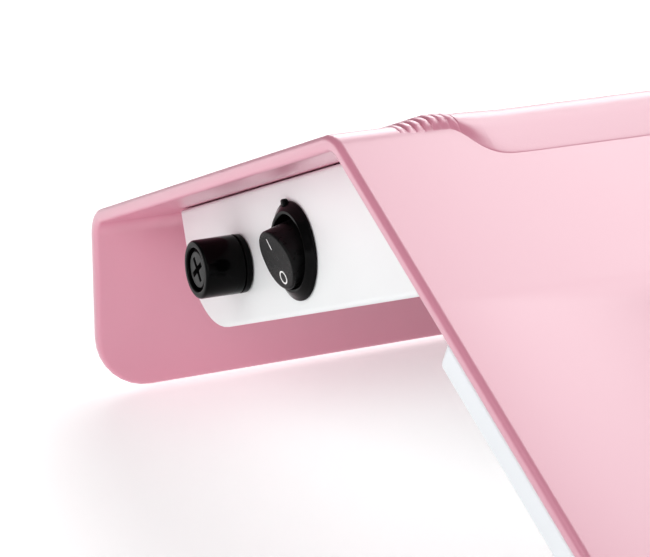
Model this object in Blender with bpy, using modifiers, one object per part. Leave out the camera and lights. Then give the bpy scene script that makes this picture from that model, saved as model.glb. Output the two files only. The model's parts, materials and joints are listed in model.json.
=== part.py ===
"""Nail dust collector: a bent pink cover over a white fan housing and a white power casing.

Metres, +Z up, front towards -Y, left towards -X, origin on the table under the middle of the body.
The cover is a tent: a rear roof and a front slope meet at the crest, and a rear wall drops to the table.
"""

import math

import bmesh
import bpy
from mathutils import Matrix, Vector

# Cover
WIDTH = 0.290
REAR_SLOPE = math.radians(21.2)
FRONT_SLOPE = math.radians(27.5)
ROOF_LENGTH = 0.1524
FRONT_LENGTH = 0.190
FRONT_EDGE_HEIGHT = 0.018267
SHELL_WALL = 0.0036
REAR_WALL_CLEARANCE = 0.0016
FRONT_LIP_CLEARANCE = 0.0065
REAR_BEND_RADIUS = 0.009
CREST_RADIUS = 0.010
FRONT_BEND_RADIUS = 0.008
REAR_CORNER_RADIUS = 0.015
FRONT_CORNER_RADIUS = 0.007
GAP = 0.0003

# Palm pad on the crest
PAD_SIDE_MARGIN = 0.0135
PAD_THICKNESS = 0.0010
PAD_REAR_REACH = 0.034
PAD_FRONT_REACH = 0.0130
PAD_RIB_REACH = 0.0054
PAD_RIB_COUNT = 7
PAD_RIB_PITCH = 0.0019
PAD_RIB_WIDTH = 0.0012
PAD_RIB_HEIGHT = 0.0009

# Grille lid, filter and tray, measured down the front slope from the crest
LID_START = 0.058
LID_LENGTH = 0.108
LID_WIDTH = 0.176
LID_RECESS = 0.0004
LID_SEAT_GAP = 0.0004
LID_EDGE_GAP = 0.0005
LID_CORNER_RADIUS = 0.006
LID_BARREL_RADIUS = 0.0015
HINGE_PIN_RADIUS = 0.0008
HINGE_PIN_LENGTH = 0.008
SLOT_WIDTH = 0.0034
SLOT_PITCH = 0.0064
SLOT_ROWS = 13
SLOT_BORDER = 0.011
SLOT_MIDDLE_BAR = 0.008
TAB_WIDTH = 0.030
TAB_HEIGHT = 0.0016
FILTER_DEPTH = 0.010
FILTER_MARGIN = 0.004
FILTER_WALL = 0.003
PLEAT_COUNT = 22
PLEAT_SHEET = 0.0012
TRAY_START = 0.056
TRAY_END_GAP = 0.004
TRAY_DEPTH = 0.0062
TRAY_WALL = 0.002
TRAY_SIDE_INSET = 0.0008
TRAY_CORNER_RADIUS = 0.006

# Fan housing, its base and the rotor
HOUSING_WIDTH = 0.200
HOUSING_REAR_WIDTH = 0.132
HOUSING_NOTCH_RUN = 0.004
HOUSING_WALL = 0.0022
HOUSING_REAR = 0.045
HOUSING_FRONT = 0.150
HOUSING_REAR_HEIGHT = 0.048
HOUSING_STEP = 0.010
BASE_CLEARANCE = 0.0035
BASE_THICKNESS = 0.0018
FLANGE_WIDTH = 0.0115
FLANGE_THICKNESS = 0.002
VENT_COUNT = 12
VENT_MIDDLE = 0.026
VENT_WIDTH = 0.0038
VENT_HEIGHT = 0.024
VENT_PITCH = 0.0092
FAN_FORWARD = 0.026
IMPELLER_RADIUS = 0.050
IMPELLER_BASE = 0.0105
BLADE_COUNT = 22
BLADE_HEIGHT = 0.0235
BLADE_THICKNESS = 0.0014
BLADE_INNER_RADIUS = 0.031
DISC_THICKNESS = 0.0016
MOTOR_RADIUS = 0.018
MOTOR_HEIGHT = 0.0155
HUB_CLEARANCE = 0.001
HUB_WALL = 0.0024
SHAFT_RADIUS = 0.002
BAFFLE_HEIGHT = 0.040
BAFFLE_THICKNESS = 0.002
INLET_RADIUS = 0.032
FOOT_RADIUS = 0.0065
FOOT_INSET = 0.016
FRONT_POST_HEIGHT = 0.008
REAR_POST_HEIGHT = 0.014

# Power casing under the roof, measured down the roof from the crest
CASING_INSET = 0.0178
CASING_START = 0.0075
CASING_END = 0.1342
CASING_DEPTH = 0.0315
CASING_WALL = 0.0022
CASING_CORNER_RADIUS = 0.018
SCREW_PAD_HEIGHT = 0.002
SCREW_SINK = 0.0018
CONTROL_DEPTH = 0.0206
SWITCH_POSITION = 0.0660
FUSE_POSITION = 0.0987
INLET_POSITION = 0.0900

# Rocker switch
BEZEL_RIM = 0.00175
BEZEL_HEIGHT = 0.0022
SWITCH_WALL = 0.0013
SWITCH_BODY_DEPTH = 0.0135
SWITCH_WELL_DEPTH = 0.0062
ROCKER_RADIUS = 0.00735
ROCKER_CLEARANCE = 0.00125
ROCKER_FACE = 0.0058
ROCKER_BOTTOM = 0.0025
ROCKER_TILT = math.radians(16.0)
ROCKER_DISH = math.radians(3.0)
ROCKER_PIVOT_DEPTH = 0.0004
ROCKER_PIN_RADIUS = 0.0008

# Fuse holder
FUSE_CAP_RADIUS = 0.00725
FUSE_CAP_REACH = 0.0124
FUSE_FLANGE = 0.0016
FUSE_BODY_RADIUS = 0.0060
FUSE_BODY_DEPTH = 0.022
FUSE_RADIUS = 0.0026
FUSE_LENGTH = 0.020
FUSE_BORE_RADIUS = 0.0034

# Screws
SCREW_RADIUS = 0.0013
SCREW_HOLE_RADIUS = 0.0016
SCREW_HEAD_RADIUS = 0.0028
SCREW_HEAD_HEIGHT = 0.0014
BOSS_RADIUS = 0.0038

ROUND_STEPS = 28
SMALL_STEPS = 12
ARC_STEPS = 6

# Places worked out from the sizes above
SWITCH_WELL_RADIUS = ROCKER_RADIUS + ROCKER_CLEARANCE
SWITCH_BODY_RADIUS = SWITCH_WELL_RADIUS + SWITCH_WALL
BEZEL_RADIUS = SWITCH_BODY_RADIUS + BEZEL_RIM
REAR_RUN = ROOF_LENGTH * math.cos(REAR_SLOPE)
FRONT_RUN = FRONT_LENGTH * math.cos(FRONT_SLOPE)
CREST_Y = (FRONT_RUN - REAR_RUN) / 2
CREST_HEIGHT = FRONT_EDGE_HEIGHT + FRONT_LENGTH * math.sin(FRONT_SLOPE)
BASE_TOP = BASE_CLEARANCE + BASE_THICKNESS
LID_AXIS_S = LID_START + LID_BARREL_RADIUS + LID_EDGE_GAP
LID_THICKNESS = SHELL_WALL - LID_RECESS - LID_SEAT_GAP
LID_AXIS_DEPTH = SHELL_WALL - LID_BARREL_RADIUS
TRAY_TOP = SHELL_WALL + GAP
TRAY_BOTTOM = TRAY_TOP + TRAY_DEPTH
FLANGE_TOP = TRAY_BOTTOM + GAP
CASING_TOP = SHELL_WALL + GAP
CASING_BOTTOM = CASING_TOP + CASING_DEPTH
CASING_HALF_WIDTH = WIDTH / 2 - CASING_INSET
FAN_Y = CREST_Y - FAN_FORWARD

PINK = (0.80, 0.42, 0.50, 1.0)
WHITE = (0.86, 0.87, 0.88, 1.0)
BLACK = (0.012, 0.012, 0.013, 1.0)


def new_collection(name):
    collection = bpy.data.collections.new(name)
    bpy.context.scene.collection.children.link(collection)
    return collection


def material(name, color, roughness, metallic=0.0):
    made = bpy.data.materials.new(name)
    made.use_nodes = True
    shader = made.node_tree.nodes["Principled BSDF"]
    shader.inputs["Base Color"].default_value = color
    shader.inputs["Roughness"].default_value = roughness
    shader.inputs["Metallic"].default_value = metallic
    made.diffuse_color = color
    return made


def slope_frame(direction, normal):
    """A frame on the crest line: x across, y along the slope, z out of the cover."""
    frame = Matrix((Vector((1, 0, 0)), direction, normal)).transposed().to_4x4()
    return Matrix.Translation((0, CREST_Y, CREST_HEIGHT)) @ frame


def front_frame():
    """Local y runs up the front slope, so a place down the slope has a negative y."""
    sine, cosine = math.sin(FRONT_SLOPE), math.cos(FRONT_SLOPE)
    return slope_frame(Vector((0, cosine, sine)), Vector((0, -sine, cosine)))


def rear_frame():
    """Local y runs down the roof towards the rear wall."""
    sine, cosine = math.sin(REAR_SLOPE), math.cos(REAR_SLOPE)
    return slope_frame(Vector((0, cosine, -sine)), Vector((0, sine, cosine)))


def panel_frame(position, side):
    """A frame on the casing's end wall: x down the roof, z out of it. Side -1 is the left, 1 the right."""
    origin = rear_frame() @ Vector((side * CASING_HALF_WIDTH, position, -CONTROL_DEPTH))
    outward = Vector((side, 0, 0))
    along = rear_frame().to_3x3() @ Vector((0, 1, 0))
    down = outward.cross(along)
    frame = Matrix((along, down, outward)).transposed().to_4x4()
    return Matrix.Translation(origin) @ frame


FRONT = front_frame()
REAR = rear_frame()
LEVEL = Matrix.Translation((0, 0, 0))


def side_profile():
    """Maps local x, y, z to the world's y, z and x, for an outline drawn from the side."""
    return Matrix(((0, 0, 1, 0), (1, 0, 0, 0), (0, 1, 0, 0), (0, 0, 0, 1)))


def add_object(name, mesh, matrix, collection, look=None):
    made = bpy.data.objects.new(name, mesh)
    made.matrix_world = matrix
    collection.objects.link(made)
    if look:
        mesh.materials.append(look)
    else:
        made.hide_render = True
        made.display_type = "WIRE"
    return made


def smooth(made):
    made.data.shade_smooth()
    made.data.set_sharp_from_angle(angle=math.radians(35))
    return made


def cut(target, tool, operation="DIFFERENCE"):
    modifier = target.modifiers.new(tool.name, "BOOLEAN")
    modifier.object = tool
    modifier.operation = operation
    return target


def box(name, size, center, matrix, collection, look=None):
    mesh = bpy.data.meshes.new(name)
    form = bmesh.new()
    bmesh.ops.create_cube(form, size=1.0)
    bmesh.ops.scale(form, vec=size, verts=form.verts)
    bmesh.ops.translate(form, vec=center, verts=form.verts)
    form.to_mesh(mesh)
    form.free()
    return add_object(name, mesh, matrix, collection, look)


def boxes(name, size, centers, matrix, collection):
    """Several equal boxes in one cutter."""
    mesh = bpy.data.meshes.new(name)
    form = bmesh.new()
    for center in centers:
        made = bmesh.ops.create_cube(form, size=1.0)
        bmesh.ops.scale(form, vec=size, verts=made["verts"])
        bmesh.ops.translate(form, vec=center, verts=made["verts"])
    form.to_mesh(mesh)
    form.free()
    return add_object(name, mesh, matrix, collection)


def rods(name, radius, spans, matrix, collection, look=None, steps=SMALL_STEPS):
    """Round rods along local z: each span is x, y, low z and high z."""
    mesh = bpy.data.meshes.new(name)
    form = bmesh.new()
    for x, y, low, high in spans:
        place = Matrix.Translation((x, y, (low + high) / 2))
        bmesh.ops.create_cone(form, cap_ends=True, segments=steps, radius1=radius, radius2=radius,
                              depth=high - low, matrix=place)
    form.to_mesh(mesh)
    form.free()
    return smooth(add_object(name, mesh, matrix, collection, look))


def plate(name, loops, low, high, matrix, collection, look=None):
    """A flat outline with holes, from local z low to high."""
    curve = bpy.data.curves.new(name, "CURVE")
    curve.dimensions = "2D"
    curve.fill_mode = "BOTH"
    curve.extrude = (high - low) / 2
    for loop in loops:
        spline = curve.splines.new("POLY")
        spline.points.add(len(loop) - 1)
        for point, (x, y) in zip(spline.points, loop):
            point.co = (x, y, 0, 1)
        spline.use_cyclic_u = True
    guide = bpy.data.objects.new(name + "_outline", curve)
    collection.objects.link(guide)
    view = bpy.context.evaluated_depsgraph_get()
    mesh = bpy.data.meshes.new_from_object(guide.evaluated_get(view), depsgraph=view)
    bpy.data.objects.remove(guide)
    bpy.data.curves.remove(curve)
    mesh.name = name
    form = bmesh.new()
    form.from_mesh(mesh)
    bmesh.ops.remove_doubles(form, verts=form.verts, dist=1e-6)
    bmesh.ops.translate(form, vec=(0, 0, (low + high) / 2), verts=form.verts)
    bmesh.ops.recalc_face_normals(form, faces=form.faces)
    form.to_mesh(mesh)
    form.free()
    mesh.materials.clear()
    return add_object(name, mesh, matrix, collection, look)


def plates(name, loops, low, high, matrix, collection):
    """Several separate flat outlines in one cutter."""
    made = plate(name, loops[:1], low, high, matrix, collection)
    form = bmesh.new()
    form.from_mesh(made.data)
    for loop in loops[1:]:
        extra = plate(name + "_more", [loop], low, high, matrix, collection)
        form.from_mesh(extra.data)
        bpy.data.objects.remove(extra)
    form.to_mesh(made.data)
    form.free()
    return made


def turned(name, profile, matrix, collection, look=None, steps=ROUND_STEPS):
    """A turned shape: a closed profile of radius and height, down the outer side first.

    A side that lies on the axis is left out.
    """
    mesh = bpy.data.meshes.new(name)
    count = len(profile)
    sides = [(i, (i + 1) % count) for i in range(count)]
    edges = [(i, j) for i, j in sides if profile[i][0] > 0 or profile[j][0] > 0]
    mesh.from_pydata([(radius, 0, height) for radius, height in profile], edges, [])
    made = add_object(name, mesh, matrix, collection, look)
    screw = made.modifiers.new("turn", "SCREW")
    screw.steps = steps
    screw.render_steps = steps
    screw.use_merge_vertices = True
    screw.merge_threshold = 1e-5
    screw.use_smooth_shade = False
    return made


def rounded_corner(before, corner, after, radius, steps=ARC_STEPS):
    """The arc that rounds one corner of a path."""
    here = Vector(corner)
    back = (Vector(before) - here).normalized()
    ahead = (Vector(after) - here).normalized()
    half = back.angle(ahead) / 2
    reach = radius / math.tan(half)
    center = here + (back + ahead).normalized() * radius / math.sin(half)
    start = here + back * reach - center
    turn = start.angle_signed(here + ahead * reach - center)
    return [center + Matrix.Rotation(-turn * i / steps, 2) @ start for i in range(steps + 1)]


def rounded_path(corners, radii, steps=ARC_STEPS):
    """An open path through corners, rounded where radii says."""
    points = [Vector(corners[0])]
    for i in range(1, len(corners) - 1):
        points += rounded_corner(corners[i - 1], corners[i], corners[i + 1], radii[i - 1], steps)
    points.append(Vector(corners[-1]))
    return points


def rounded_loop(corners, radii, steps=ARC_STEPS):
    """A closed outline; a corner whose radius is 0 stays sharp."""
    points = []
    count = len(corners)
    for i in range(count):
        if radii[i] == 0:
            points.append(Vector(corners[i]))
        else:
            points += rounded_corner(corners[i - 1], corners[i], corners[(i + 1) % count], radii[i], steps)
    return points


def rectangle(left, right, low, high, radius=0.0, steps=ARC_STEPS):
    corners = [(left, low), (right, low), (right, high), (left, high)]
    return rounded_loop(corners, [radius] * 4, steps)


def circle(x, y, radius, steps=ROUND_STEPS):
    angles = [2 * math.pi * i / steps for i in range(steps)]
    return [(x + radius * math.cos(angle), y + radius * math.sin(angle)) for angle in angles]


def offset_path(points, distance):
    """The path moved along its left-hand normal."""
    moved = []
    for i, point in enumerate(points):
        ahead = points[min(i + 1, len(points) - 1)] - points[max(i, 0)]
        behind = point - points[i - 1] if i else ahead
        ahead = ahead if ahead.length > 1e-9 else behind
        first, second = behind.normalized(), ahead.normalized()
        tangent = (first + second).normalized()
        normal = Vector((-tangent.y, tangent.x))
        moved.append(point + normal * distance / max(0.5, tangent.dot(first)))
    return moved


def strip(name, points, spans, thickness, collection, look=None):
    """Sheets bent along a side path, each from one x to another, thickened to the path's left."""
    mesh = bpy.data.meshes.new(name)
    form = bmesh.new()
    for left, right in spans:
        rows = [[form.verts.new((x, point.x, point.y)) for point in points] for x in (left, right)]
        for i in range(len(points) - 1):
            form.faces.new((rows[1][i], rows[1][i + 1], rows[0][i + 1], rows[0][i]))
    form.to_mesh(mesh)
    form.free()
    made = add_object(name, mesh, LEVEL, collection, look)
    solid = made.modifiers.new("thickness", "SOLIDIFY")
    solid.thickness = abs(thickness)
    solid.offset = 1 if thickness > 0 else -1
    solid.use_even_offset = True
    return made


def cover_corners():
    rear_y = CREST_Y + REAR_RUN
    front_y = CREST_Y - FRONT_RUN
    rear_top = CREST_HEIGHT - ROOF_LENGTH * math.sin(REAR_SLOPE)
    front_top = CREST_HEIGHT - FRONT_LENGTH * math.sin(FRONT_SLOPE)
    return [(front_y, FRONT_LIP_CLEARANCE), (front_y, front_top), (CREST_Y, CREST_HEIGHT),
            (rear_y, rear_top), (rear_y, REAR_WALL_CLEARANCE)]


def cover_path():
    """The cover's outer side from the front lip, over the crest, to the foot of the rear wall."""
    return rounded_path(cover_corners(), [FRONT_BEND_RADIUS, CREST_RADIUS, REAR_BEND_RADIUS])


def crest_path(front_reach, rear_reach, lift):
    """The outer side near the crest only, lifted off the cover."""
    front = FRONT @ Vector((0, -front_reach, 0))
    rear = REAR @ Vector((0, rear_reach, 0))
    corners = [(front.y, front.z), (CREST_Y, CREST_HEIGHT), (rear.y, rear.z)]
    return offset_path(rounded_path(corners, [CREST_RADIUS]), lift)


def corner_waste(name, center, inward, radius, low, high, matrix, cutters):
    """The waste outside a rounded corner; inward points from the corner into the sheet."""
    x, y = center
    sx, sy = inward
    over = radius / 4
    arc = [(x + sx * radius * (1 - math.sin(a)), y + sy * radius * (1 - math.cos(a)))
           for a in [math.pi / 2 * i / 8 for i in range(9)]]
    loop = [(x - sx * over, y - sy * over), (x + sx * radius, y - sy * over)] + arc
    loop.append((x - sx * over, y + sy * radius))
    return plate(name, [loop], low, high, matrix, cutters)


def tray_screw_places():
    across = HOUSING_WIDTH / 2 + FLANGE_WIDTH / 2
    return [(side * across, -s) for s in (LID_START + 0.014, LID_START + LID_LENGTH - 0.016)
            for side in (-1, 1)]


def casing_screw_places():
    across = CASING_HALF_WIDTH - 0.030
    return [(side * across, run) for run in (CASING_START + 0.012, CASING_END - 0.026) for side in (-1, 1)]


def base_screw_places():
    """Two screws near the housing's narrow rear end, then two near its wide front."""
    inset = HOUSING_WALL + 0.0035
    rear, front = CREST_Y + HOUSING_REAR - inset, CREST_Y - HOUSING_FRONT + inset
    across = {rear: HOUSING_REAR_WIDTH / 2 - inset, front: HOUSING_WIDTH / 2 - inset}
    return [(side * across[y], y) for y in (rear, front) for side in (-1, 1)]


def screw_post_height(y):
    """The front posts are lower, because the slope comes down over them."""
    return FRONT_POST_HEIGHT if y < 0 else REAR_POST_HEIGHT


def make_shell(parts, cutters, pink):
    shell = strip("top_shell", cover_path(), [(-WIDTH / 2, WIDTH / 2)], -SHELL_WALL, parts, pink)
    half = LID_WIDTH / 2
    front = -LID_START - LID_LENGTH
    opening = rounded_loop([(-half, front), (half, front), (half, -LID_START), (-half, -LID_START)],
                           [LID_CORNER_RADIUS] * 2 + [0, 0])
    boss_spans = [(x, y, -TRAY_BOTTOM + TRAY_WALL + GAP, -SHELL_WALL / 2) for x, y in tray_screw_places()]
    cut(shell, rods("front_bosses", BOSS_RADIUS, boss_spans, FRONT, cutters), "UNION")
    floor = CASING_BOTTOM - CASING_WALL - SCREW_PAD_HEIGHT - GAP
    boss_spans = [(x, y, -floor, -SHELL_WALL / 2) for x, y in casing_screw_places()]
    cut(shell, rods("roof_bosses", BOSS_RADIUS, boss_spans, REAR, cutters), "UNION")
    cut(shell, plate("lid_opening", [opening], -0.02, 0.01, FRONT, cutters))
    pin_reach = half + HINGE_PIN_LENGTH / 2 + GAP
    pin_place = FRONT @ Matrix.Translation((0, -LID_AXIS_S, -LID_AXIS_DEPTH))
    pin_place = pin_place @ Matrix.Rotation(math.pi / 2, 4, "Y")
    cut(shell, rods("hinge_bore", HINGE_PIN_RADIUS + GAP, [(0, 0, -pin_reach, pin_reach)], pin_place,
                    cutters))
    for name, y, low, radius in (("rear", CREST_Y + REAR_RUN, REAR_WALL_CLEARANCE, REAR_CORNER_RADIUS),
                                 ("front", CREST_Y - FRONT_RUN, FRONT_LIP_CLEARANCE, FRONT_CORNER_RADIUS)):
        upright = Matrix.Translation((0, y, 0)) @ Matrix.Rotation(math.pi / 2, 4, "X")
        reach = 2 * SHELL_WALL
        for side in (-1, 1):
            waste = corner_waste(f"{name}_corner_{side}", (side * WIDTH / 2, low), (-side, 1), radius,
                                 -reach, reach, upright, cutters)
            cut(shell, waste)
    holes = [(x, y, -TRAY_BOTTOM, -SHELL_WALL) for x, y in tray_screw_places()]
    cut(shell, rods("front_boss_bores", SCREW_HOLE_RADIUS, holes, FRONT, cutters))
    holes = [(x, y, -CASING_BOTTOM, -CASING_BOTTOM + 0.014) for x, y in casing_screw_places()]
    cut(shell, rods("roof_boss_bores", SCREW_HOLE_RADIUS, holes, REAR, cutters))
    return shell


def pad_outline():
    """The pad from above: narrow at its ribbed ends, bulging onto the front slope between them."""
    end = WIDTH / 2 - PAD_SIDE_MARGIN
    ribs = PAD_RIB_COUNT * PAD_RIB_PITCH
    bulge = end - ribs - 0.012
    rear = CREST_Y + PAD_REAR_REACH * math.cos(REAR_SLOPE)
    shoulder = CREST_Y - PAD_RIB_REACH * math.cos(FRONT_SLOPE)
    front = CREST_Y - PAD_FRONT_REACH * math.cos(FRONT_SLOPE)
    corners = [(-end, shoulder), (-end + ribs, shoulder), (-bulge, front), (bulge, front),
               (end - ribs, shoulder), (end, shoulder), (end, rear), (-end, rear)]
    return rounded_loop(corners, [0.002, 0.008, 0.008, 0.008, 0.008, 0.002, 0.010, 0.010])


def make_pad(parts, cutters, pink):
    end = WIDTH / 2 - PAD_SIDE_MARGIN + 0.001
    path = crest_path(PAD_FRONT_REACH + 0.005, PAD_REAR_REACH + 0.005, GAP)
    pad = strip("palm_pad", path, [(-end, end)], PAD_THICKNESS, parts, pink)
    spans = []
    for side in (-1, 1):
        for i in range(PAD_RIB_COUNT):
            x = side * (end - 0.001 - PAD_RIB_PITCH * (i + 0.5))
            spans.append((x - PAD_RIB_WIDTH / 2, x + PAD_RIB_WIDTH / 2))
    path = crest_path(PAD_FRONT_REACH, PAD_REAR_REACH - 0.011, GAP + PAD_THICKNESS / 2)
    cut(pad, strip("pad_ribs", path, spans, PAD_THICKNESS / 2 + PAD_RIB_HEIGHT, cutters), "UNION")
    outline = plate("pad_outline", [pad_outline()], CREST_HEIGHT - 0.06, CREST_HEIGHT + 0.02, LEVEL, cutters)
    return cut(pad, outline, "INTERSECT")


def lid_slots():
    half = LID_WIDTH / 2 - SLOT_BORDER
    first = -LID_START - (LID_LENGTH - (SLOT_ROWS - 1) * SLOT_PITCH) / 2
    loops = []
    for row in range(SLOT_ROWS):
        y = first - row * SLOT_PITCH
        for left, right in ((-half, -SLOT_MIDDLE_BAR / 2), (SLOT_MIDDLE_BAR / 2, half)):
            loops.append(rectangle(left, right, y - SLOT_WIDTH / 2, y + SLOT_WIDTH / 2, SLOT_WIDTH * 0.45, 2))
    return loops


def make_lid(parts, cutters, white, steel, filter_look, paper):
    half = LID_WIDTH / 2 - LID_EDGE_GAP
    front = -LID_START - LID_LENGTH + LID_EDGE_GAP
    rear = -LID_AXIS_S - LID_BARREL_RADIUS / 4
    corners = [(-half, front), (half, front), (half, rear), (-half, rear)]
    radii = [LID_CORNER_RADIUS - LID_EDGE_GAP] * 2 + [0, 0]
    outline = rounded_loop(corners, radii)
    top = -LID_RECESS
    lid = plate("grille_lid", [outline], top - LID_THICKNESS, top, FRONT, parts, white)
    cut(lid, plates("lid_slots", lid_slots(), top - 2 * LID_THICKNESS, top + LID_THICKNESS, FRONT, cutters))
    axis = FRONT @ Matrix.Translation((0, -LID_AXIS_S, -LID_AXIS_DEPTH))
    axis = axis @ Matrix.Rotation(math.pi / 2, 4, "Y")
    cut(lid, rods("lid_barrel", LID_BARREL_RADIUS, [(0, 0, GAP - half, half - GAP)], axis, cutters), "UNION")
    tab = box("lid_tab", (TAB_WIDTH, 0.004, TAB_HEIGHT + 0.001), (0, front + 0.0045, TAB_HEIGHT / 2 - 0.0009),
              FRONT, cutters)
    cut(lid, tab, "UNION")
    reach = HINGE_PIN_LENGTH / 2 + GAP
    cut(lid, rods("barrel_bore", HINGE_PIN_RADIUS + GAP / 2,
                  [(0, 0, -half - 0.001, -LID_WIDTH / 2 + reach),
                   (0, 0, LID_WIDTH / 2 - reach, half + 0.001)],
                  axis, cutters))
    for side, name in ((-1, "hinge_pin_left"), (1, "hinge_pin_right")):
        middle = side * LID_WIDTH / 2
        span = [(0, 0, middle - HINGE_PIN_LENGTH / 2, middle + HINGE_PIN_LENGTH / 2)]
        rods(name, HINGE_PIN_RADIUS, span, axis, parts, steel)
    make_filter(parts, filter_look, paper)


def make_filter(parts, frame_look, paper):
    half = LID_WIDTH / 2 - FILTER_MARGIN
    rear = -LID_AXIS_S - FILTER_MARGIN - 0.001
    front = -LID_START - LID_LENGTH + FILTER_MARGIN
    top = -LID_RECESS - LID_THICKNESS - GAP
    outer = rectangle(-half, half, front, rear, 0.003)
    wall = FILTER_WALL
    inner = [(-half + wall, front + wall), (half - wall, front + wall), (half - wall, rear - wall),
             (-half + wall, rear - wall)]
    plate("filter_frame", [outer, inner], top - FILTER_DEPTH, top, FRONT, parts, frame_look)
    length = 2 * (half - wall - GAP)
    pitch = length / (2 * PLEAT_COUNT)
    depth = FILTER_DEPTH - 2 * PLEAT_SHEET
    low = top - FILTER_DEPTH + PLEAT_SHEET / 2
    points = [(-length / 2 + pitch * i, low + depth * (i % 2)) for i in range(2 * PLEAT_COUNT + 1)]
    upper = [(x, z + PLEAT_SHEET) for x, z in reversed(points)]
    along = (rear + front) / 2
    reach = (rear - front) / 2 - wall - GAP
    folded = FRONT @ Matrix.Translation((0, along, 0)) @ Matrix.Rotation(math.pi / 2, 4, "X")
    plate("filter_pleats", [points + upper], -reach, reach, folded, parts, paper)


def make_tray(parts, cutters, white):
    half = WIDTH / 2 - TRAY_SIDE_INSET
    end = -FRONT_LENGTH + TRAY_END_GAP
    radii = [TRAY_CORNER_RADIUS] * 2 + [0.0015] * 2
    corners = [(-half, end), (half, end), (half, -TRAY_START), (-half, -TRAY_START)]
    lid_half = LID_WIDTH / 2
    opening = rectangle(-lid_half, lid_half, -LID_START - LID_LENGTH, -LID_START - TRAY_WALL,
                        LID_CORNER_RADIUS)
    tray = plate("lower_tray", [rounded_loop(corners, radii), opening], -TRAY_BOTTOM, -TRAY_TOP, FRONT,
                 parts, white)
    wall = TRAY_WALL
    inner = [(-half + wall, end + wall), (half - wall, end + wall), (half - wall, -TRAY_START - wall),
             (-half + wall, -TRAY_START - wall)]
    inner_radii = [TRAY_CORNER_RADIUS - wall] * 2 + [0, 0]
    island = rectangle(-lid_half - wall, lid_half + wall, -LID_START - LID_LENGTH - wall, 0, 0)
    pocket = plate("tray_pocket", [rounded_loop(inner, inner_radii)], -TRAY_BOTTOM + wall, 0, FRONT, cutters)
    cut(pocket, plate("tray_island", [island], -0.03, 0.01, FRONT, cutters))
    cut(tray, pocket)
    holes = [(x, y, -TRAY_BOTTOM - 0.001, 0) for x, y in tray_screw_places()]
    return cut(tray, rods("tray_screw_holes", SCREW_HOLE_RADIUS, holes, FRONT, cutters))


def housing_corners():
    """The housing from the side, as world y and z, from its front foot round to its rear foot."""
    slope = FRONT @ Vector((0, -TRAY_START - 0.0004, -FLANGE_TOP - FLANGE_THICKNESS / 2))
    front = CREST_Y - HOUSING_FRONT
    drop = math.tan(FRONT_SLOPE)
    front_top = slope.z - (slope.y - front) * drop
    rear = CREST_Y + HOUSING_REAR
    return [(front, BASE_TOP + GAP), (front, front_top), (slope.y, slope.z),
            (CREST_Y + HOUSING_STEP, HOUSING_REAR_HEIGHT), (rear, HOUSING_REAR_HEIGHT),
            (rear, BASE_TOP + GAP)]


def notch_y():
    """Where the housing narrows: behind this it is only as wide as its rear end."""
    return housing_corners()[2][0] - HOUSING_NOTCH_RUN


def side_waste(name, half, front, cutters):
    """Two blocks beside the housing's rear end, outside half and behind front."""
    depth = 0.2
    centers = [(side * (half + depth / 2), front + depth / 2, 0.05) for side in (-1, 1)]
    return boxes(name, (depth, depth, 0.2), centers, LEVEL, cutters)


def make_housing(parts, cutters, white):
    side = side_profile()
    half = HOUSING_WIDTH / 2
    wall = HOUSING_WALL
    front_low, front_top, ridge, step, rear_top, rear_low = housing_corners()
    outer = rounded_loop([front_low, front_top, ridge, step, rear_top, rear_low], [0, 0, 0, 0, 0.004, 0], 4)
    housing = plate("fan_housing", [outer], -half, half, side, parts, white)
    cut(housing, side_waste("housing_waste", HOUSING_REAR_WIDTH / 2, notch_y(), cutters))
    slope_out = Vector((-math.sin(FRONT_SLOPE), math.cos(FRONT_SLOPE))) * 0.01
    under = 0.01
    inner = [(front_low[0] + wall, front_low[1] - under),
             (front_top[0] + wall, front_top[1] + slope_out.y * 1.5),
             (ridge[0] - wall, ridge[1] + slope_out.y * 1.5), (ridge[0] - wall, ridge[1] - wall * 1.2),
             (step[0] - wall * 0.2, step[1] - wall), (rear_top[0] - wall, rear_top[1] - wall),
             (rear_low[0] - wall, rear_low[1] - under)]
    flange_rear = -TRAY_START - 0.008
    flange_front = -LID_START - LID_LENGTH + 0.004
    flange_half = half + FLANGE_WIDTH
    flange = rectangle(-flange_half, flange_half, flange_front, flange_rear, 0.004)
    cut(housing, plate("housing_flange", [flange], -FLANGE_TOP - FLANGE_THICKNESS, -FLANGE_TOP, FRONT,
                       cutters),
        "UNION")
    hollow = plate("housing_hollow", [inner], -half + wall, half - wall, side, cutters)
    cut(hollow, side_waste("hollow_waste", HOUSING_REAR_WIDTH / 2 - wall, notch_y() - wall, cutters))
    cut(housing, hollow)
    low = BASE_TOP + GAP
    posts = [(x, y, low, low + screw_post_height(y)) for x, y in base_screw_places()]
    cut(housing, rods("housing_posts", BOSS_RADIUS, posts, LEVEL, cutters), "UNION")
    bores = [(x, y, 0, high - 0.002) for x, y, low, high in posts]
    cut(housing, rods("post_bores", SCREW_HOLE_RADIUS, bores, LEVEL, cutters))
    rear = CREST_Y + HOUSING_REAR
    first = -(VENT_COUNT - 1) / 2 * VENT_PITCH
    centers = [(first + i * VENT_PITCH, rear, VENT_MIDDLE) for i in range(VENT_COUNT)]
    cut(housing, boxes("exhaust_slots", (VENT_WIDTH, 0.012, VENT_HEIGHT), centers, LEVEL, cutters))
    holes = [(x, y, -FLANGE_TOP - 0.01, 0) for x, y in tray_screw_places()]
    return cut(housing, rods("flange_holes", SCREW_HOLE_RADIUS, holes, FRONT, cutters))


def motor_screw_places():
    radius = MOTOR_RADIUS * 0.66
    angles = [2 * math.pi * i / 3 + math.pi / 2 for i in range(3)]
    return [(radius * math.cos(angle), FAN_Y + radius * math.sin(angle)) for angle in angles]


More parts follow.
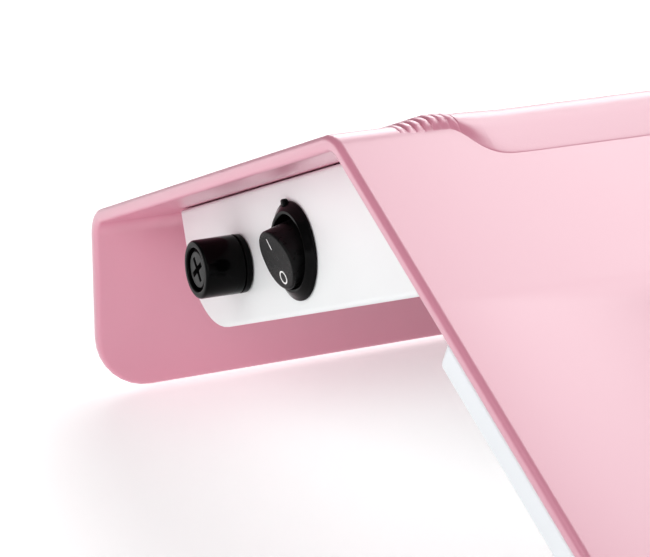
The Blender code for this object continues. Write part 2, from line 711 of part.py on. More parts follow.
def make_base(parts, cutters, white, rubber, steel):
    half = HOUSING_WIDTH / 2
    front, rear = CREST_Y - HOUSING_FRONT, CREST_Y + HOUSING_REAR
    holes = [circle(x, y, SCREW_HOLE_RADIUS, SMALL_STEPS)
             for x, y in base_screw_places() + motor_screw_places()]
    rear_half, notch = HOUSING_REAR_WIDTH / 2, notch_y()
    corners = [(-half, front), (half, front), (half, notch), (rear_half, notch), (rear_half, rear),
               (-rear_half, rear),
               (-rear_half, notch), (-half, notch)]
    outline = rounded_loop(corners, [0.004, 0.004, 0, 0, 0.004, 0.004, 0, 0])
    plate("housing_base", [outline] + holes, BASE_CLEARANCE, BASE_TOP, LEVEL, parts, white)
    names = ["foot_front_left", "foot_front_right", "foot_rear_left", "foot_rear_right"]
    inset = FOOT_INSET
    places = [(side * (width - inset), y) for width, y in ((half, front + inset), (rear_half, rear - inset))
              for side in (-1, 1)]
    top = BASE_CLEARANCE - GAP
    profile = [(0, top), (FOOT_RADIUS, top), (FOOT_RADIUS, 0.0008), (FOOT_RADIUS - 0.0008, 0), (0, 0)]
    for name, (x, y) in zip(names, places):
        turned(name, profile, Matrix.Translation((x, y, 0)), parts, rubber, 20)
    for i, (x, y) in enumerate(base_screw_places()):
        reach = BASE_THICKNESS + screw_post_height(y) - 0.004
        screw(f"base_screw_{i + 1}", Matrix.Translation((x, y, BASE_CLEARANCE - GAP)), reach, parts, steel)
    for i, (x, y) in enumerate(motor_screw_places()):
        screw(f"motor_screw_{i + 1}", Matrix.Translation((x, y, BASE_CLEARANCE - GAP)), 0.008, parts, steel)


def screw(name, matrix, reach, parts, steel):
    """A screw that enters along local +z: its head lies below the origin, its shank above."""
    profile = [(0, reach), (SCREW_RADIUS, reach), (SCREW_RADIUS, 0), (SCREW_HEAD_RADIUS, 0),
               (SCREW_HEAD_RADIUS * 0.8, -SCREW_HEAD_HEIGHT), (0, -SCREW_HEAD_HEIGHT)]
    return turned(name, profile, matrix, parts, steel, 8)


def make_baffle(parts, cutters, dark):
    half = HOUSING_WIDTH / 2 - HOUSING_WALL - GAP
    rear = CREST_Y + HOUSING_REAR - HOUSING_WALL - GAP
    front = FAN_Y - IMPELLER_RADIUS - 0.010
    top = BAFFLE_HEIGHT + BAFFLE_THICKNESS
    low = BASE_TOP + GAP
    corners = [(front, low), (front, top), (rear, top), (rear, BAFFLE_HEIGHT),
               (front + BAFFLE_THICKNESS, BAFFLE_HEIGHT), (front + BAFFLE_THICKNESS, low)]
    baffle = plate("fan_baffle", [corners], -half, half, side_profile(), parts, dark)
    clear = HOUSING_WALL + GAP
    cut(baffle, side_waste("baffle_waste", HOUSING_REAR_WIDTH / 2 - clear, notch_y() - clear, cutters))
    place = Matrix.Translation((0, FAN_Y, 0))
    lip = BAFFLE_HEIGHT - 0.0026
    inside = INLET_RADIUS
    ring = [(inside + 0.002, top - 0.0005), (inside + 0.002, lip), (inside - 0.001, lip),
            (inside - 0.001, top - 0.0005)]
    cut(baffle, rods("inlet_hole", inside, [(0, 0, 0.02, 0.06)], place, cutters, steps=ROUND_STEPS))
    return cut(baffle, turned("inlet_lip", ring, place, cutters), "UNION")


def blade_loop(turn):
    """One backward-curved blade seen from above, as a thin arc."""
    outer_radius = IMPELLER_RADIUS - 0.0008
    count = 4
    middle = []
    for i in range(count + 1):
        share = i / count
        radius = BLADE_INNER_RADIUS + (outer_radius - BLADE_INNER_RADIUS) * share
        angle = turn - math.radians(34) * share ** 1.2
        middle.append(Vector((radius * math.cos(angle), radius * math.sin(angle))))
    left = offset_path(middle, BLADE_THICKNESS / 2)
    right = offset_path(middle, -BLADE_THICKNESS / 2)
    return left + right[::-1]


def make_rotor(parts, cutters, dark, steel, brass):
    place = Matrix.Translation((0, FAN_Y, 0))
    floor = IMPELLER_BASE
    inner = MOTOR_RADIUS + HUB_CLEARANCE
    outer = inner + HUB_WALL
    motor_top = BASE_TOP + GAP + MOTOR_HEIGHT
    dome_low = motor_top + 0.0012
    dome_top = dome_low + HUB_WALL
    boss = 0.0055
    boss_top = dome_top + 0.006
    bore = SHAFT_RADIUS + GAP / 2
    disc_top = floor + DISC_THICKNESS
    profile = [(bore, boss_top), (boss, boss_top), (boss, dome_top), (outer - 0.003, dome_top),
               (outer, dome_top - 0.003), (outer, disc_top), (IMPELLER_RADIUS, disc_top),
               (IMPELLER_RADIUS, floor),
               (inner, floor), (inner, dome_low), (bore, dome_low)]
    impeller = turned("impeller", profile, place, parts, dark, 36)
    blade_top = disc_top + BLADE_HEIGHT
    loops = [blade_loop(2 * math.pi * i / BLADE_COUNT) for i in range(BLADE_COUNT)]
    cut(impeller, plates("blades", loops, disc_top - 0.0004, blade_top, place, cutters), "UNION")
    shroud = [(IMPELLER_RADIUS, blade_top + 0.0010), (IMPELLER_RADIUS, blade_top - 0.0004),
              (INLET_RADIUS + 0.0005, blade_top - 0.0004), (INLET_RADIUS + 0.0005, blade_top + 0.0010)]
    cut(impeller, turned("impeller_shroud", shroud, place, cutters, None, 36), "UNION")
    shaft_low = BASE_TOP + 0.0025
    shaft_top = boss_top + 0.005
    rods("motor_shaft", SHAFT_RADIUS, [(0, 0, shaft_low, shaft_top)], place, parts, steel)
    nut_low = boss_top + GAP
    nut_bore = (SHAFT_RADIUS + GAP) / math.cos(math.pi / 6)
    nut = [(nut_bore, nut_low + 0.0035), (0.0042, nut_low + 0.0035), (0.0042, nut_low), (nut_bore, nut_low)]
    turned("impeller_nut", nut, place, parts, brass, 6)
    make_motor(parts, cutters, place, motor_top, shaft_low, steel)


def make_motor(parts, cutters, place, top, shaft_low, steel):
    low = BASE_TOP + GAP
    bearing_radius = 0.0052
    bearing_seat = top - 0.0042
    bore = SHAFT_RADIUS + GAP
    profile = [(bearing_radius, top), (MOTOR_RADIUS - 0.0015, top), (MOTOR_RADIUS, top - 0.0015),
               (MOTOR_RADIUS, low),
               (0, low), (0, shaft_low - GAP), (bore, shaft_low - GAP), (bore, bearing_seat),
               (bearing_radius, bearing_seat)]
    motor = turned("motor_body", profile, place, parts, steel)
    holes = [(x, y - FAN_Y, 0, low + 0.0075) for x, y in motor_screw_places()]
    cut(motor, rods("motor_screw_bores", SCREW_HOLE_RADIUS, holes, place, cutters))
    ring = [(bearing_radius - GAP / 2, top - GAP), (bearing_radius - GAP / 2, bearing_seat + GAP),
            (bore - GAP / 2, bearing_seat + GAP), (bore - GAP / 2, top - GAP)]
    turned("motor_bearing", ring, place, parts, steel, 24)


def casing_loop(inset, open_top):
    """The casing from the side, as run down the roof and height; inset thins it by one wall."""
    start, end = CASING_START + inset, CASING_END - inset
    low = -CASING_BOTTOM + inset
    top = -CASING_TOP + open_top
    return rounded_loop([(start, low), (end, low), (end, top), (start, top)],
                        [0.003, CASING_CORNER_RADIUS - inset, 0, 0], 8)


def board_posts():
    return [(x, run) for x in (-0.044, 0.044) for run in (0.045, 0.095)]


def make_casing(parts, cutters, white, green, dark, steel, silver):
    side = REAR @ side_profile()
    half = CASING_HALF_WIDTH
    wall = CASING_WALL
    casing = plate("power_casing", [casing_loop(0, 0)], -half, half, side, parts, white)
    cut(casing, plate("casing_hollow", [casing_loop(wall, 0.01)], -half + wall, half - wall, side, cutters))
    floor = -CASING_BOTTOM + wall
    posts = [(x, run, floor - 0.001, floor + 0.004) for x, run in board_posts()]
    cut(casing, rods("board_posts", 0.003, posts, REAR, cutters), "UNION")
    bores = [(x, run, floor + 0.0005, floor + 0.006) for x, run in board_posts()]
    cut(casing, rods("board_post_bores", SCREW_HOLE_RADIUS, bores, REAR, cutters))
    pads = [(x, run, floor - 0.001, floor + SCREW_PAD_HEIGHT) for x, run in casing_screw_places()]
    cut(casing, rods("screw_pads", BOSS_RADIUS + 0.001, pads, REAR, cutters), "UNION")
    holes = [(x, run, -CASING_BOTTOM - 0.001, floor + SCREW_PAD_HEIGHT + 0.001)
             for x, run in casing_screw_places()]
    cut(casing, rods("casing_screw_holes", SCREW_HOLE_RADIUS, holes, REAR, cutters))
    sinks = [(x, run, -CASING_BOTTOM - 0.001, -CASING_BOTTOM + SCREW_SINK)
             for x, run in casing_screw_places()]
    cut(casing, rods("screw_sinks", SCREW_HEAD_RADIUS + GAP, sinks, REAR, cutters, steps=20))
    left = panel_frame(SWITCH_POSITION, -1)
    cut(casing, rods("switch_hole", SWITCH_BODY_RADIUS + GAP, [(0, 0, -0.008, 0.004)], left, cutters,
                     steps=ROUND_STEPS))
    left = panel_frame(FUSE_POSITION, -1)
    cut(casing, rods("fuse_hole", FUSE_BODY_RADIUS + GAP, [(0, 0, -0.008, 0.004)], left, cutters,
                     steps=ROUND_STEPS))
    right = panel_frame(INLET_POSITION, 1)
    opening = rectangle(-0.0115, 0.0115, -0.0065, 0.0065, 0.003)
    cut(casing, plate("inlet_cutout", [opening], -0.008, 0.004, right, cutters))
    slots = [(x, 0.072, floor) for x in [-0.030 + 0.010 * i for i in range(7)]]
    cut(casing, boxes("casing_vents", (0.003, 0.024, 0.01), slots, REAR, cutters))
    holes = [circle(x, run, SCREW_HOLE_RADIUS, SMALL_STEPS) for x, run in board_posts()]
    board_low = floor + 0.004 + GAP
    board_top = board_low + 0.0016
    plate("circuit_board", [rectangle(-0.050, 0.050, 0.038, 0.102, 0.002, 3)] + holes, board_low, board_top,
          REAR, parts, green)
    box("board_transformer", (0.024, 0.022, 0.016), (0.018, 0.070, board_top + GAP + 0.008), REAR, parts,
        dark)
    rods("board_capacitor", 0.0060, [(-0.016, 0.066, board_top + GAP, board_top + GAP + 0.015)], REAR,
         parts, silver)
    for i, (x, run) in enumerate(board_posts()):
        place = REAR @ Matrix.Translation((x, run, board_top + GAP)) @ Matrix.Rotation(math.pi, 4, "X")
        screw(f"board_screw_{i + 1}", place, 0.0045, parts, steel)
    for i, (x, run) in enumerate(casing_screw_places()):
        place = REAR @ Matrix.Translation((x, run, -CASING_BOTTOM + SCREW_SINK - GAP))
        screw(f"casing_screw_{i + 1}", place, 0.010, parts, steel)
    for i, (x, y) in enumerate(tray_screw_places()):
        place = FRONT @ Matrix.Translation((x, y, -FLANGE_TOP - FLANGE_THICKNESS - GAP))
        screw(f"tray_screw_{i + 1}", place, 0.0074, parts, steel)


def make_switch(parts, cutters, black, steel):
    place = panel_frame(SWITCH_POSITION, -1)
    low = GAP
    top = BEZEL_HEIGHT
    well = SWITCH_WELL_RADIUS
    bezel = BEZEL_RADIUS
    body = SWITCH_BODY_RADIUS
    profile = [(well, top), (well + 0.0008, top), (bezel - 0.0006, low + 0.0010), (bezel, low + 0.0004),
               (bezel, low),
               (body, low), (body, -SWITCH_BODY_DEPTH), (0, -SWITCH_BODY_DEPTH), (0, -SWITCH_WELL_DEPTH),
               (well, -SWITCH_WELL_DEPTH)]
    made = turned("switch_body", profile, place, parts, black)
    pivot = Matrix.Translation((0, 0, -ROCKER_PIVOT_DEPTH))
    along = Matrix.Rotation(math.pi / 2, 4, "Y")
    pin_half = (well + body) / 2
    bore = [(0, 0, -pin_half - GAP, pin_half + GAP)]
    cut(made, rods("switch_pin_bore", ROCKER_PIN_RADIUS + GAP, bore, place @ pivot @ along, cutters))
    rods("rocker_pin", ROCKER_PIN_RADIUS, [(0, 0, -pin_half, pin_half)], place @ pivot @ along, parts, steel)
    tilt = Matrix.Rotation(-ROCKER_TILT, 4, "X")
    held = place @ pivot @ tilt
    rocker = rods("rocker", ROCKER_RADIUS, [(0, 0, -ROCKER_BOTTOM, ROCKER_FACE + 0.002)], held, parts, black,
                  ROUND_STEPS)
    rise = ROCKER_FACE + ROCKER_RADIUS * math.tan(ROCKER_DISH)
    corners = [(-0.012, ROCKER_FACE + 0.012 * math.tan(ROCKER_DISH)), (0, ROCKER_FACE),
               (0.012, ROCKER_FACE + 0.012 * math.tan(ROCKER_DISH)), (0.012, rise + 0.01),
               (-0.012, rise + 0.01)]
    across = held @ side_profile()
    cut(rocker, plate("rocker_face", [corners], -0.012, 0.012, across, cutters))
    cut(rocker, rods("rocker_bore", ROCKER_PIN_RADIUS + GAP, [(0, 0, -0.012, 0.012)], held @ along, cutters))
    for i, y in enumerate((-0.004, 0.004)):
        low = -SWITCH_BODY_DEPTH - GAP
        box(f"switch_terminal_{i + 1}", (0.0063, 0.0008, 0.008), (0, y, low - 0.004), place, parts, steel)
    return rocker


def make_fuse(parts, cutters, black, glass, silver):
    place = panel_frame(FUSE_POSITION, -1)
    radius = FUSE_CAP_RADIUS
    body = FUSE_BODY_RADIUS
    bore = FUSE_BORE_RADIUS
    low = GAP
    flange = low + FUSE_FLANGE
    back = -FUSE_BODY_DEPTH
    profile = [(bore, flange), (radius, flange), (radius, low), (body, low), (body, back), (0, back),
               (0, back + 0.0015), (bore, back + 0.0015)]
    turned("fuse_holder", profile, place, parts, black)
    top = FUSE_CAP_REACH
    under = flange + GAP
    groove, disc = 0.0052, 0.0046
    profile = [(0, top - 0.0006), (disc, top - 0.0006), (disc, top - 0.0012), (groove, top - 0.0012),
               (groove, top),
               (radius - 0.0008, top), (radius, top - 0.0008), (radius, under), (bore, under),
               (bore, top - 0.003),
               (0, top - 0.003)]
    cap = turned("fuse_cap", profile, place, parts, black)
    for i, turn in enumerate((math.radians(20), math.radians(110))):
        slot = place @ Matrix.Rotation(turn, 4, "Z")
        cut(cap, box(f"cap_slot_{i + 1}", (0.0062, 0.0012, 0.0030), (0, 0, top), slot, cutters))
    outer = top - 0.003 - 0.0006
    end = 0.0047
    rods("fuse_end_outer", FUSE_RADIUS, [(0, 0, outer - end, outer)], place, parts, silver)
    rods("fuse_end_inner", FUSE_RADIUS, [(0, 0, outer - FUSE_LENGTH, outer - FUSE_LENGTH + end)], place,
         parts, silver)
    rods("fuse_tube", FUSE_RADIUS - 0.0002,
         [(0, 0, outer - FUSE_LENGTH + end + GAP, outer - end - GAP)], place, parts, glass)


def make_inlet(parts, cutters, black, silver):
    place = panel_frame(INLET_POSITION, 1)
    flange = rectangle(-0.0145, 0.0145, -0.0095, 0.0095, 0.004)
    inlet = plate("mains_inlet", [flange], GAP, 0.0022, place, parts, black)
    body = rectangle(-0.0112, 0.0112, -0.0062, 0.0062, 0.003)
    cut(inlet, plate("inlet_body", [body], -0.018, 0.001, place, cutters), "UNION")
    mouth = rectangle(-0.0085, 0.0085, -0.0043, 0.0043, 0.0042, 8)
    cut(inlet, plate("inlet_mouth", [mouth], -0.0155, 0.01, place, cutters))
    for name, x in (("inlet_pin_left", -0.0043), ("inlet_pin_right", 0.0043)):
        rods(name, 0.0012, [(x, 0, -0.0155 + GAP, -0.004)], place, parts, silver, 12)


def build():
    for old in list(bpy.data.objects):
        bpy.data.objects.remove(old)
    parts = new_collection("nail_dust_collector")
    cutters = new_collection("cutters")
    pink = material("pink_plastic", PINK, 0.42)
    pad_pink = material("pad_pink", PINK, 0.55)
    white = material("white_plastic", WHITE, 0.38)
    black = material("black_plastic", BLACK, 0.30)
    dark = material("dark_plastic", (0.05, 0.05, 0.055, 1.0), 0.5)
    rubber = material("black_rubber", (0.03, 0.03, 0.03, 1.0), 0.85)
    steel = material("steel", (0.62, 0.62, 0.64, 1.0), 0.3, 1.0)
    silver = material("nickel", (0.75, 0.74, 0.72, 1.0), 0.25, 1.0)
    brass = material("brass", (0.78, 0.62, 0.30, 1.0), 0.3, 1.0)
    green = material("board_green", (0.05, 0.22, 0.11, 1.0), 0.5)
    glass = material("fuse_glass", (0.85, 0.90, 0.90, 1.0), 0.08)
    grey = material("filter_grey", (0.35, 0.36, 0.38, 1.0), 0.6)
    paper = material("filter_paper", (0.84, 0.83, 0.80, 1.0), 0.9)
    make_shell(parts, cutters, pink)
    make_pad(parts, cutters, pad_pink)
    make_lid(parts, cutters, white, steel, grey, paper)
    make_tray(parts, cutters, white)
    make_housing(parts, cutters, white)
    make_base(parts, cutters, white, rubber, steel)
    make_baffle(parts, cutters, dark)
    make_rotor(parts, cutters, dark, steel, brass)
    make_casing(parts, cutters, white, green, dark, steel, silver)
    make_switch(parts, cutters, black, steel)
    make_fuse(parts, cutters, black, glass, silver)
    make_inlet(parts, cutters, black, silver)


build()
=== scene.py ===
"""Nail dust collector: bent pink cover with a palm rest, white casing, tray and lid, and black controls."""

import json
import math

import bmesh
import bpy
from bpy.props import FloatProperty, FloatVectorProperty, IntProperty, PointerProperty
from bpy.types import Operator, Panel, PropertyGroup
from mathutils import Matrix, Vector

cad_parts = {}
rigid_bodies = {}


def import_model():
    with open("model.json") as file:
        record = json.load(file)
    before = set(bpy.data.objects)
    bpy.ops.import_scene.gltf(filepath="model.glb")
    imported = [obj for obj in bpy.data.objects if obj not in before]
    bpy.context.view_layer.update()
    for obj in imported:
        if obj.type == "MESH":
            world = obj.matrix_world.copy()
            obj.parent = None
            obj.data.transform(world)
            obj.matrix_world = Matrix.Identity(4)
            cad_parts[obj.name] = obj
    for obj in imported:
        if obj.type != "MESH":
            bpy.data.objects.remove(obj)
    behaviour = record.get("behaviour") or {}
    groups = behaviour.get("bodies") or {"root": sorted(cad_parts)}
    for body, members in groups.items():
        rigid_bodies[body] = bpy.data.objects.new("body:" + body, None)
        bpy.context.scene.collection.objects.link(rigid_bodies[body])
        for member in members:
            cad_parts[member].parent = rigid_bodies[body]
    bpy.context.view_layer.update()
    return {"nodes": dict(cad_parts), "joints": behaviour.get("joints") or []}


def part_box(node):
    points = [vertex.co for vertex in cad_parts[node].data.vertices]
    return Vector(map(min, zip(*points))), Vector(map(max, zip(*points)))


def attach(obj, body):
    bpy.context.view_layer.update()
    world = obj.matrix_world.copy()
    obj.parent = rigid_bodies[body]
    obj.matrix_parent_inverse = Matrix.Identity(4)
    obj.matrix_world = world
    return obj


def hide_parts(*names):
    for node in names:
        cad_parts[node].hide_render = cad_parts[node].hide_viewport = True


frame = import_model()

bl_info = {
    "name": "Nail Dust Collector",
    "version": (1, 0, 0),
    "blender": (4, 5, 0),
    "location": "3D View > Sidebar > Dust Collector",
    "description": "Detailed pieces of a nail dust collector with a bent cover",
    "category": "Add Mesh",
}

JOINTS = {joint["name"]: joint for joint in frame["joints"]}
SHELL_LOW, SHELL_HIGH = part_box("top_shell")

# Cover
HALF_WIDTH = SHELL_HIGH.x
REAR_SLOPE = math.radians(21.2)
FRONT_SLOPE = math.radians(27.5)
FRONT_LENGTH = 0.190
CREST_HEIGHT = 0.106
CREST_Y = SHELL_LOW.y + FRONT_LENGTH * math.cos(FRONT_SLOPE)
SHELL_WALL = 0.0036
REAR_FOOT = SHELL_LOW.z
FRONT_FOOT = 0.0065
FRONT_BEND, CREST_BEND, REAR_BEND = 0.008, 0.010, 0.009
REAR_CORNER, FRONT_CORNER = 0.015, 0.007

# Lid opening and tray, down the front slope from the crest
GAP = 0.0003
LID_START, LID_LENGTH, LID_WIDTH = 0.058, 0.108, 0.176
LID_CORNER = 0.006
TRAY_START, TRAY_END_GAP, TRAY_SIDE_INSET = 0.056, 0.004, 0.0008
TRAY_TOP = SHELL_WALL + GAP
TRAY_BOTTOM = TRAY_TOP + 0.0062

# Power casing under the roof
CASING_HALF_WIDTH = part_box("power_casing")[1].x
CASING_START, CASING_END = 0.0075, 0.1342
CASING_TOP = SHELL_WALL + GAP
CASING_BOTTOM = CASING_TOP + 0.0315
CASING_WALL = 0.0022
BOARD_POST_X, BOARD_POST_RUNS = 0.044, (0.045, 0.095)
SWITCH_HOLE_RADIUS, FUSE_HOLE_RADIUS = 0.0102, 0.0063
SINK_RADIUS, SCREW_SINK = 0.0031, 0.0018

# Screw holes and posts
PILOT_RADIUS = 0.0016
FRONT_POST, REAR_POST, POST_RADIUS = 0.008, 0.014, 0.0038
HEAD_HEIGHT = 0.0014

CURVE_STEPS = 8
TURN_STEPS = 72


# Frames

def slope_frame(direction, normal):
    turn = Matrix((Vector((1, 0, 0)), direction, normal)).transposed().to_4x4()
    return Matrix.Translation((0, CREST_Y, CREST_HEIGHT)) @ turn


def across_profile():
    """Takes a side view outline: local x, y, z become the frame's y, z and x."""
    return Matrix(((0, 0, 1, 0), (1, 0, 0, 0), (0, 1, 0, 0), (0, 0, 0, 1)))


def wall_frame(place, side):
    """On the casing's end wall: x down the roof, z out of the wall."""
    outward = Vector((side, 0, 0))
    along = Vector((0, math.cos(REAR_SLOPE), -math.sin(REAR_SLOPE)))
    turn = Matrix((along, outward.cross(along), outward)).transposed().to_4x4()
    return Matrix.Translation(place) @ turn


LEVEL = Matrix.Identity(4)
FRONT = slope_frame(Vector((0, math.cos(FRONT_SLOPE), math.sin(FRONT_SLOPE))),
                    Vector((0, -math.sin(FRONT_SLOPE), math.cos(FRONT_SLOPE))))
REAR = slope_frame(Vector((0, math.cos(REAR_SLOPE), -math.sin(REAR_SLOPE))),
                   Vector((0, math.sin(REAR_SLOPE), math.cos(REAR_SLOPE))))
FUSE_PLACE = Vector(JOINTS["fuse_cap_turn"]["pos_m"])
ROCKER_AXIS_PLACE = Vector(JOINTS["rocker_tilt"]["pos_m"])
FUSE_FRAME = wall_frame(FUSE_PLACE, -1)
SWITCH_FRAME = wall_frame((-CASING_HALF_WIDTH, ROCKER_AXIS_PLACE.y, ROCKER_AXIS_PLACE.z), -1)
ROCKER_TILT = math.radians(16)
ROCKER_DISH = math.radians(3)
ROCKER_FRAME = (Matrix.Translation(ROCKER_AXIS_PLACE - SWITCH_FRAME.translation) @ SWITCH_FRAME
                @ Matrix.Rotation(-ROCKER_TILT, 4, "X"))


def node_box(name, place):
    """A CAD node's lowest and highest corner in another frame."""
    back = place.inverted()
    points = [back @ vertex.co for vertex in frame["nodes"][name].data.vertices]
    low = Vector([min(point[k] for point in points) for k in range(3)])
    high = Vector([max(point[k] for point in points) for k in range(3)])
    return low, high


def node_middles(name, count, place):
    """The middles of a numbered run of CAD nodes, in another frame."""
    boxes = [node_box(f"{name}_{i}", place) for i in range(1, count + 1)]
    return [(low + high) / 2 for low, high in boxes]


# Outlines

def rounded_corner(before, corner, after, radius, steps):
    here = Vector(corner)
    back = (Vector(before) - here).normalized()
    ahead = (Vector(after) - here).normalized()
    half = back.angle(ahead) / 2
    reach = radius / math.tan(half)
    center = here + (back + ahead).normalized() * radius / math.sin(half)
    start = here + back * reach - center
    turn = start.angle_signed(here + ahead * reach - center)
    return [center + Matrix.Rotation(-turn * i / steps, 2) @ start for i in range(steps + 1)]


def rounded_loop(corners, radii, steps=CURVE_STEPS):
    """A closed outline; a corner whose radius is 0 stays sharp."""
    points = []
    count = len(corners)
    for i, radius in enumerate(radii):
        if radius:
            points += rounded_corner(corners[i - 1], corners[i], corners[(i + 1) % count], radius, steps)
        else:
            points.append(Vector(corners[i]))
    return points


def rectangle(left, right, low, high, radius=0.0, steps=CURVE_STEPS):
    corners = [(left, low), (right, low), (right, high), (left, high)]
    return rounded_loop(corners, [radius] * 4, steps)


def circle(x, y, radius, steps=24):
    angles = [2 * math.pi * i / steps for i in range(steps)]
    return [(x + radius * math.cos(angle), y + radius * math.sin(angle)) for angle in angles]


# Mesh making

def new_mesh(form, name, matrix=LEVEL, outward=True):
    """The form's faces, turned outwards and placed, as a mesh."""
    if outward:
        bmesh.ops.recalc_face_normals(form, faces=form.faces)
    bmesh.ops.transform(form, matrix=matrix, verts=form.verts)
    mesh = bpy.data.meshes.new(name)
    form.to_mesh(mesh)
    form.free()
    return mesh


def evaluated_mesh(made):
    view = bpy.context.evaluated_depsgraph_get()
    return bpy.data.meshes.new_from_object(made.evaluated_get(view), depsgraph=view)


def plate(loops, low, high, matrix, rounding=0.0, rings=2):
    """A flat outline with holes from local z low to high, its edges rounded over on both sides."""
    curve = bpy.data.curves.new("outline", "CURVE")
    curve.dimensions = "2D"
    curve.fill_mode = "BOTH"
    curve.extrude = (high - low) / 2 - rounding
    curve.bevel_depth = rounding
    curve.bevel_resolution = rings
    curve.offset = -rounding
    for loop in loops:
        spline = curve.splines.new("POLY")
        spline.points.add(len(loop) - 1)
        for point, (x, y) in zip(spline.points, loop):
            point.co = (x, y, 0, 1)
        spline.use_cyclic_u = True
    guide = bpy.data.objects.new("outline", curve)
    bpy.context.scene.collection.objects.link(guide)
    mesh = evaluated_mesh(guide)
    bpy.data.objects.remove(guide)
    bpy.data.curves.remove(curve)
    form = bmesh.new()
    form.from_mesh(mesh)
    bmesh.ops.remove_doubles(form, verts=form.verts, dist=1e-6)
    bmesh.ops.translate(form, vec=(0, 0, (low + high) / 2), verts=form.verts)
    return new_mesh(form, "plate", matrix)


def turned(corners, radii, matrix, steps=TURN_STEPS, rings=4):
    """A turned shape: corners are radius and height, down the outer side first, rounded by radii."""
    points = rounded_loop(corners, radii, rings)
    form = bmesh.new()
    verts = [form.verts.new((max(point[0], 0.0), 0, point[1])) for point in points]
    edges = []
    for i, vert in enumerate(verts):
        after = verts[(i + 1) % len(verts)]
        if vert.co.x > 1e-7 or after.co.x > 1e-7:
            edges.append(form.edges.new((vert, after)))
    bmesh.ops.spin(form, geom=verts + edges, cent=(0, 0, 0), axis=(0, 0, 1), angle=2 * math.pi, steps=steps,
                   use_merge=True)
    bmesh.ops.remove_doubles(form, verts=form.verts, dist=1e-7)
    return new_mesh(form, "turned", matrix)


def rods(radius, spans, matrix, steps=40):
    """Round cutters along local z: each span is x, y, low z and high z."""
    form = bmesh.new()
    for x, y, low, high in spans:
        place = Matrix.Translation((x, y, (low + high) / 2))
        bmesh.ops.create_cone(form, cap_ends=True, segments=steps, radius1=radius, radius2=radius,
                              depth=high - low, matrix=place)
    return new_mesh(form, "rods", matrix)


def block(size, centers, matrix, rounding=0.0):
    """Equal boxes with rounded edges."""
    form = bmesh.new()
    for center in centers:
        made = bmesh.ops.create_cube(form, size=1.0)
        bmesh.ops.scale(form, vec=size, verts=made["verts"])
        bmesh.ops.translate(form, vec=center, verts=made["verts"])
    if rounding:
        bmesh.ops.bevel(form, geom=list(form.edges), offset=rounding, segments=3, affect="EDGES", profile=0.5)
    return new_mesh(form, "block", matrix)


CUT, ADD = "DIFFERENCE", "UNION"


def shaped(mesh, steps):
    """The mesh after a run of cuts and joins, each an operation and a tool mesh."""
    scene = bpy.context.scene.collection.objects
    body = bpy.data.objects.new("body", mesh)
    scene.link(body)
    tools = []
    for operation, tool_mesh in steps:
        tool = bpy.data.objects.new("tool", tool_mesh)
        scene.link(tool)
        tools.append(tool)
        modifier = body.modifiers.new("step", "BOOLEAN")
        modifier.operation = operation
        modifier.object = tool
    result = evaluated_mesh(body)
    for made in [body] + tools:
        bpy.data.objects.remove(made)
    result.materials.clear()
    return result


def joined(meshes):
    form = bmesh.new()
    for mesh in meshes:
        form.from_mesh(mesh)
    return new_mesh(form, "joined", outward=False)


def round_edges(mesh, width, near, sharp=50, segments=3):
    """Rounds the sharp edges whose middle near() accepts."""
    form = bmesh.new()
    form.from_mesh(mesh)
    chosen = []
    for edge in form.edges:
        if len(edge.link_faces) == 2 and edge.calc_face_angle(0) > math.radians(sharp):
            if near((edge.verts[0].co + edge.verts[1].co) / 2):
                chosen.append(edge)
    if not chosen:
        form.free()
        raise RuntimeError("found no edges to round")
    bmesh.ops.bevel(form, geom=chosen, offset=width, segments=segments, affect="EDGES", profile=0.5,
                    clamp_overlap=True)
    form.to_mesh(mesh)
    form.free()
    return mesh


def add_piece(name, mesh, look, body, slot, *nodes):
    """A finished piece: it rides on a body, takes the given finish and stands for CAD nodes; the slot
    argument is not used.
    """
    if not mesh.polygons:
        raise RuntimeError(f"{name} has no faces")
    mesh.materials.clear()
    mesh.materials.append(look)
    mesh.name = name
    made = bpy.data.objects.new(name, mesh)
    bpy.context.scene.collection.objects.link(made)
    mesh.shade_smooth()
    mesh.set_sharp_from_angle(angle=math.radians(38))
    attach(made, body)
    if nodes:
        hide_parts(*nodes)
    return made


# Finishes

LOOKS = {}


def node(tree, kind, **sockets):
    made = tree.nodes.new(kind)
    for name, value in sockets.items():
        made.inputs[name.replace("_", " ")].default_value = value
    return made


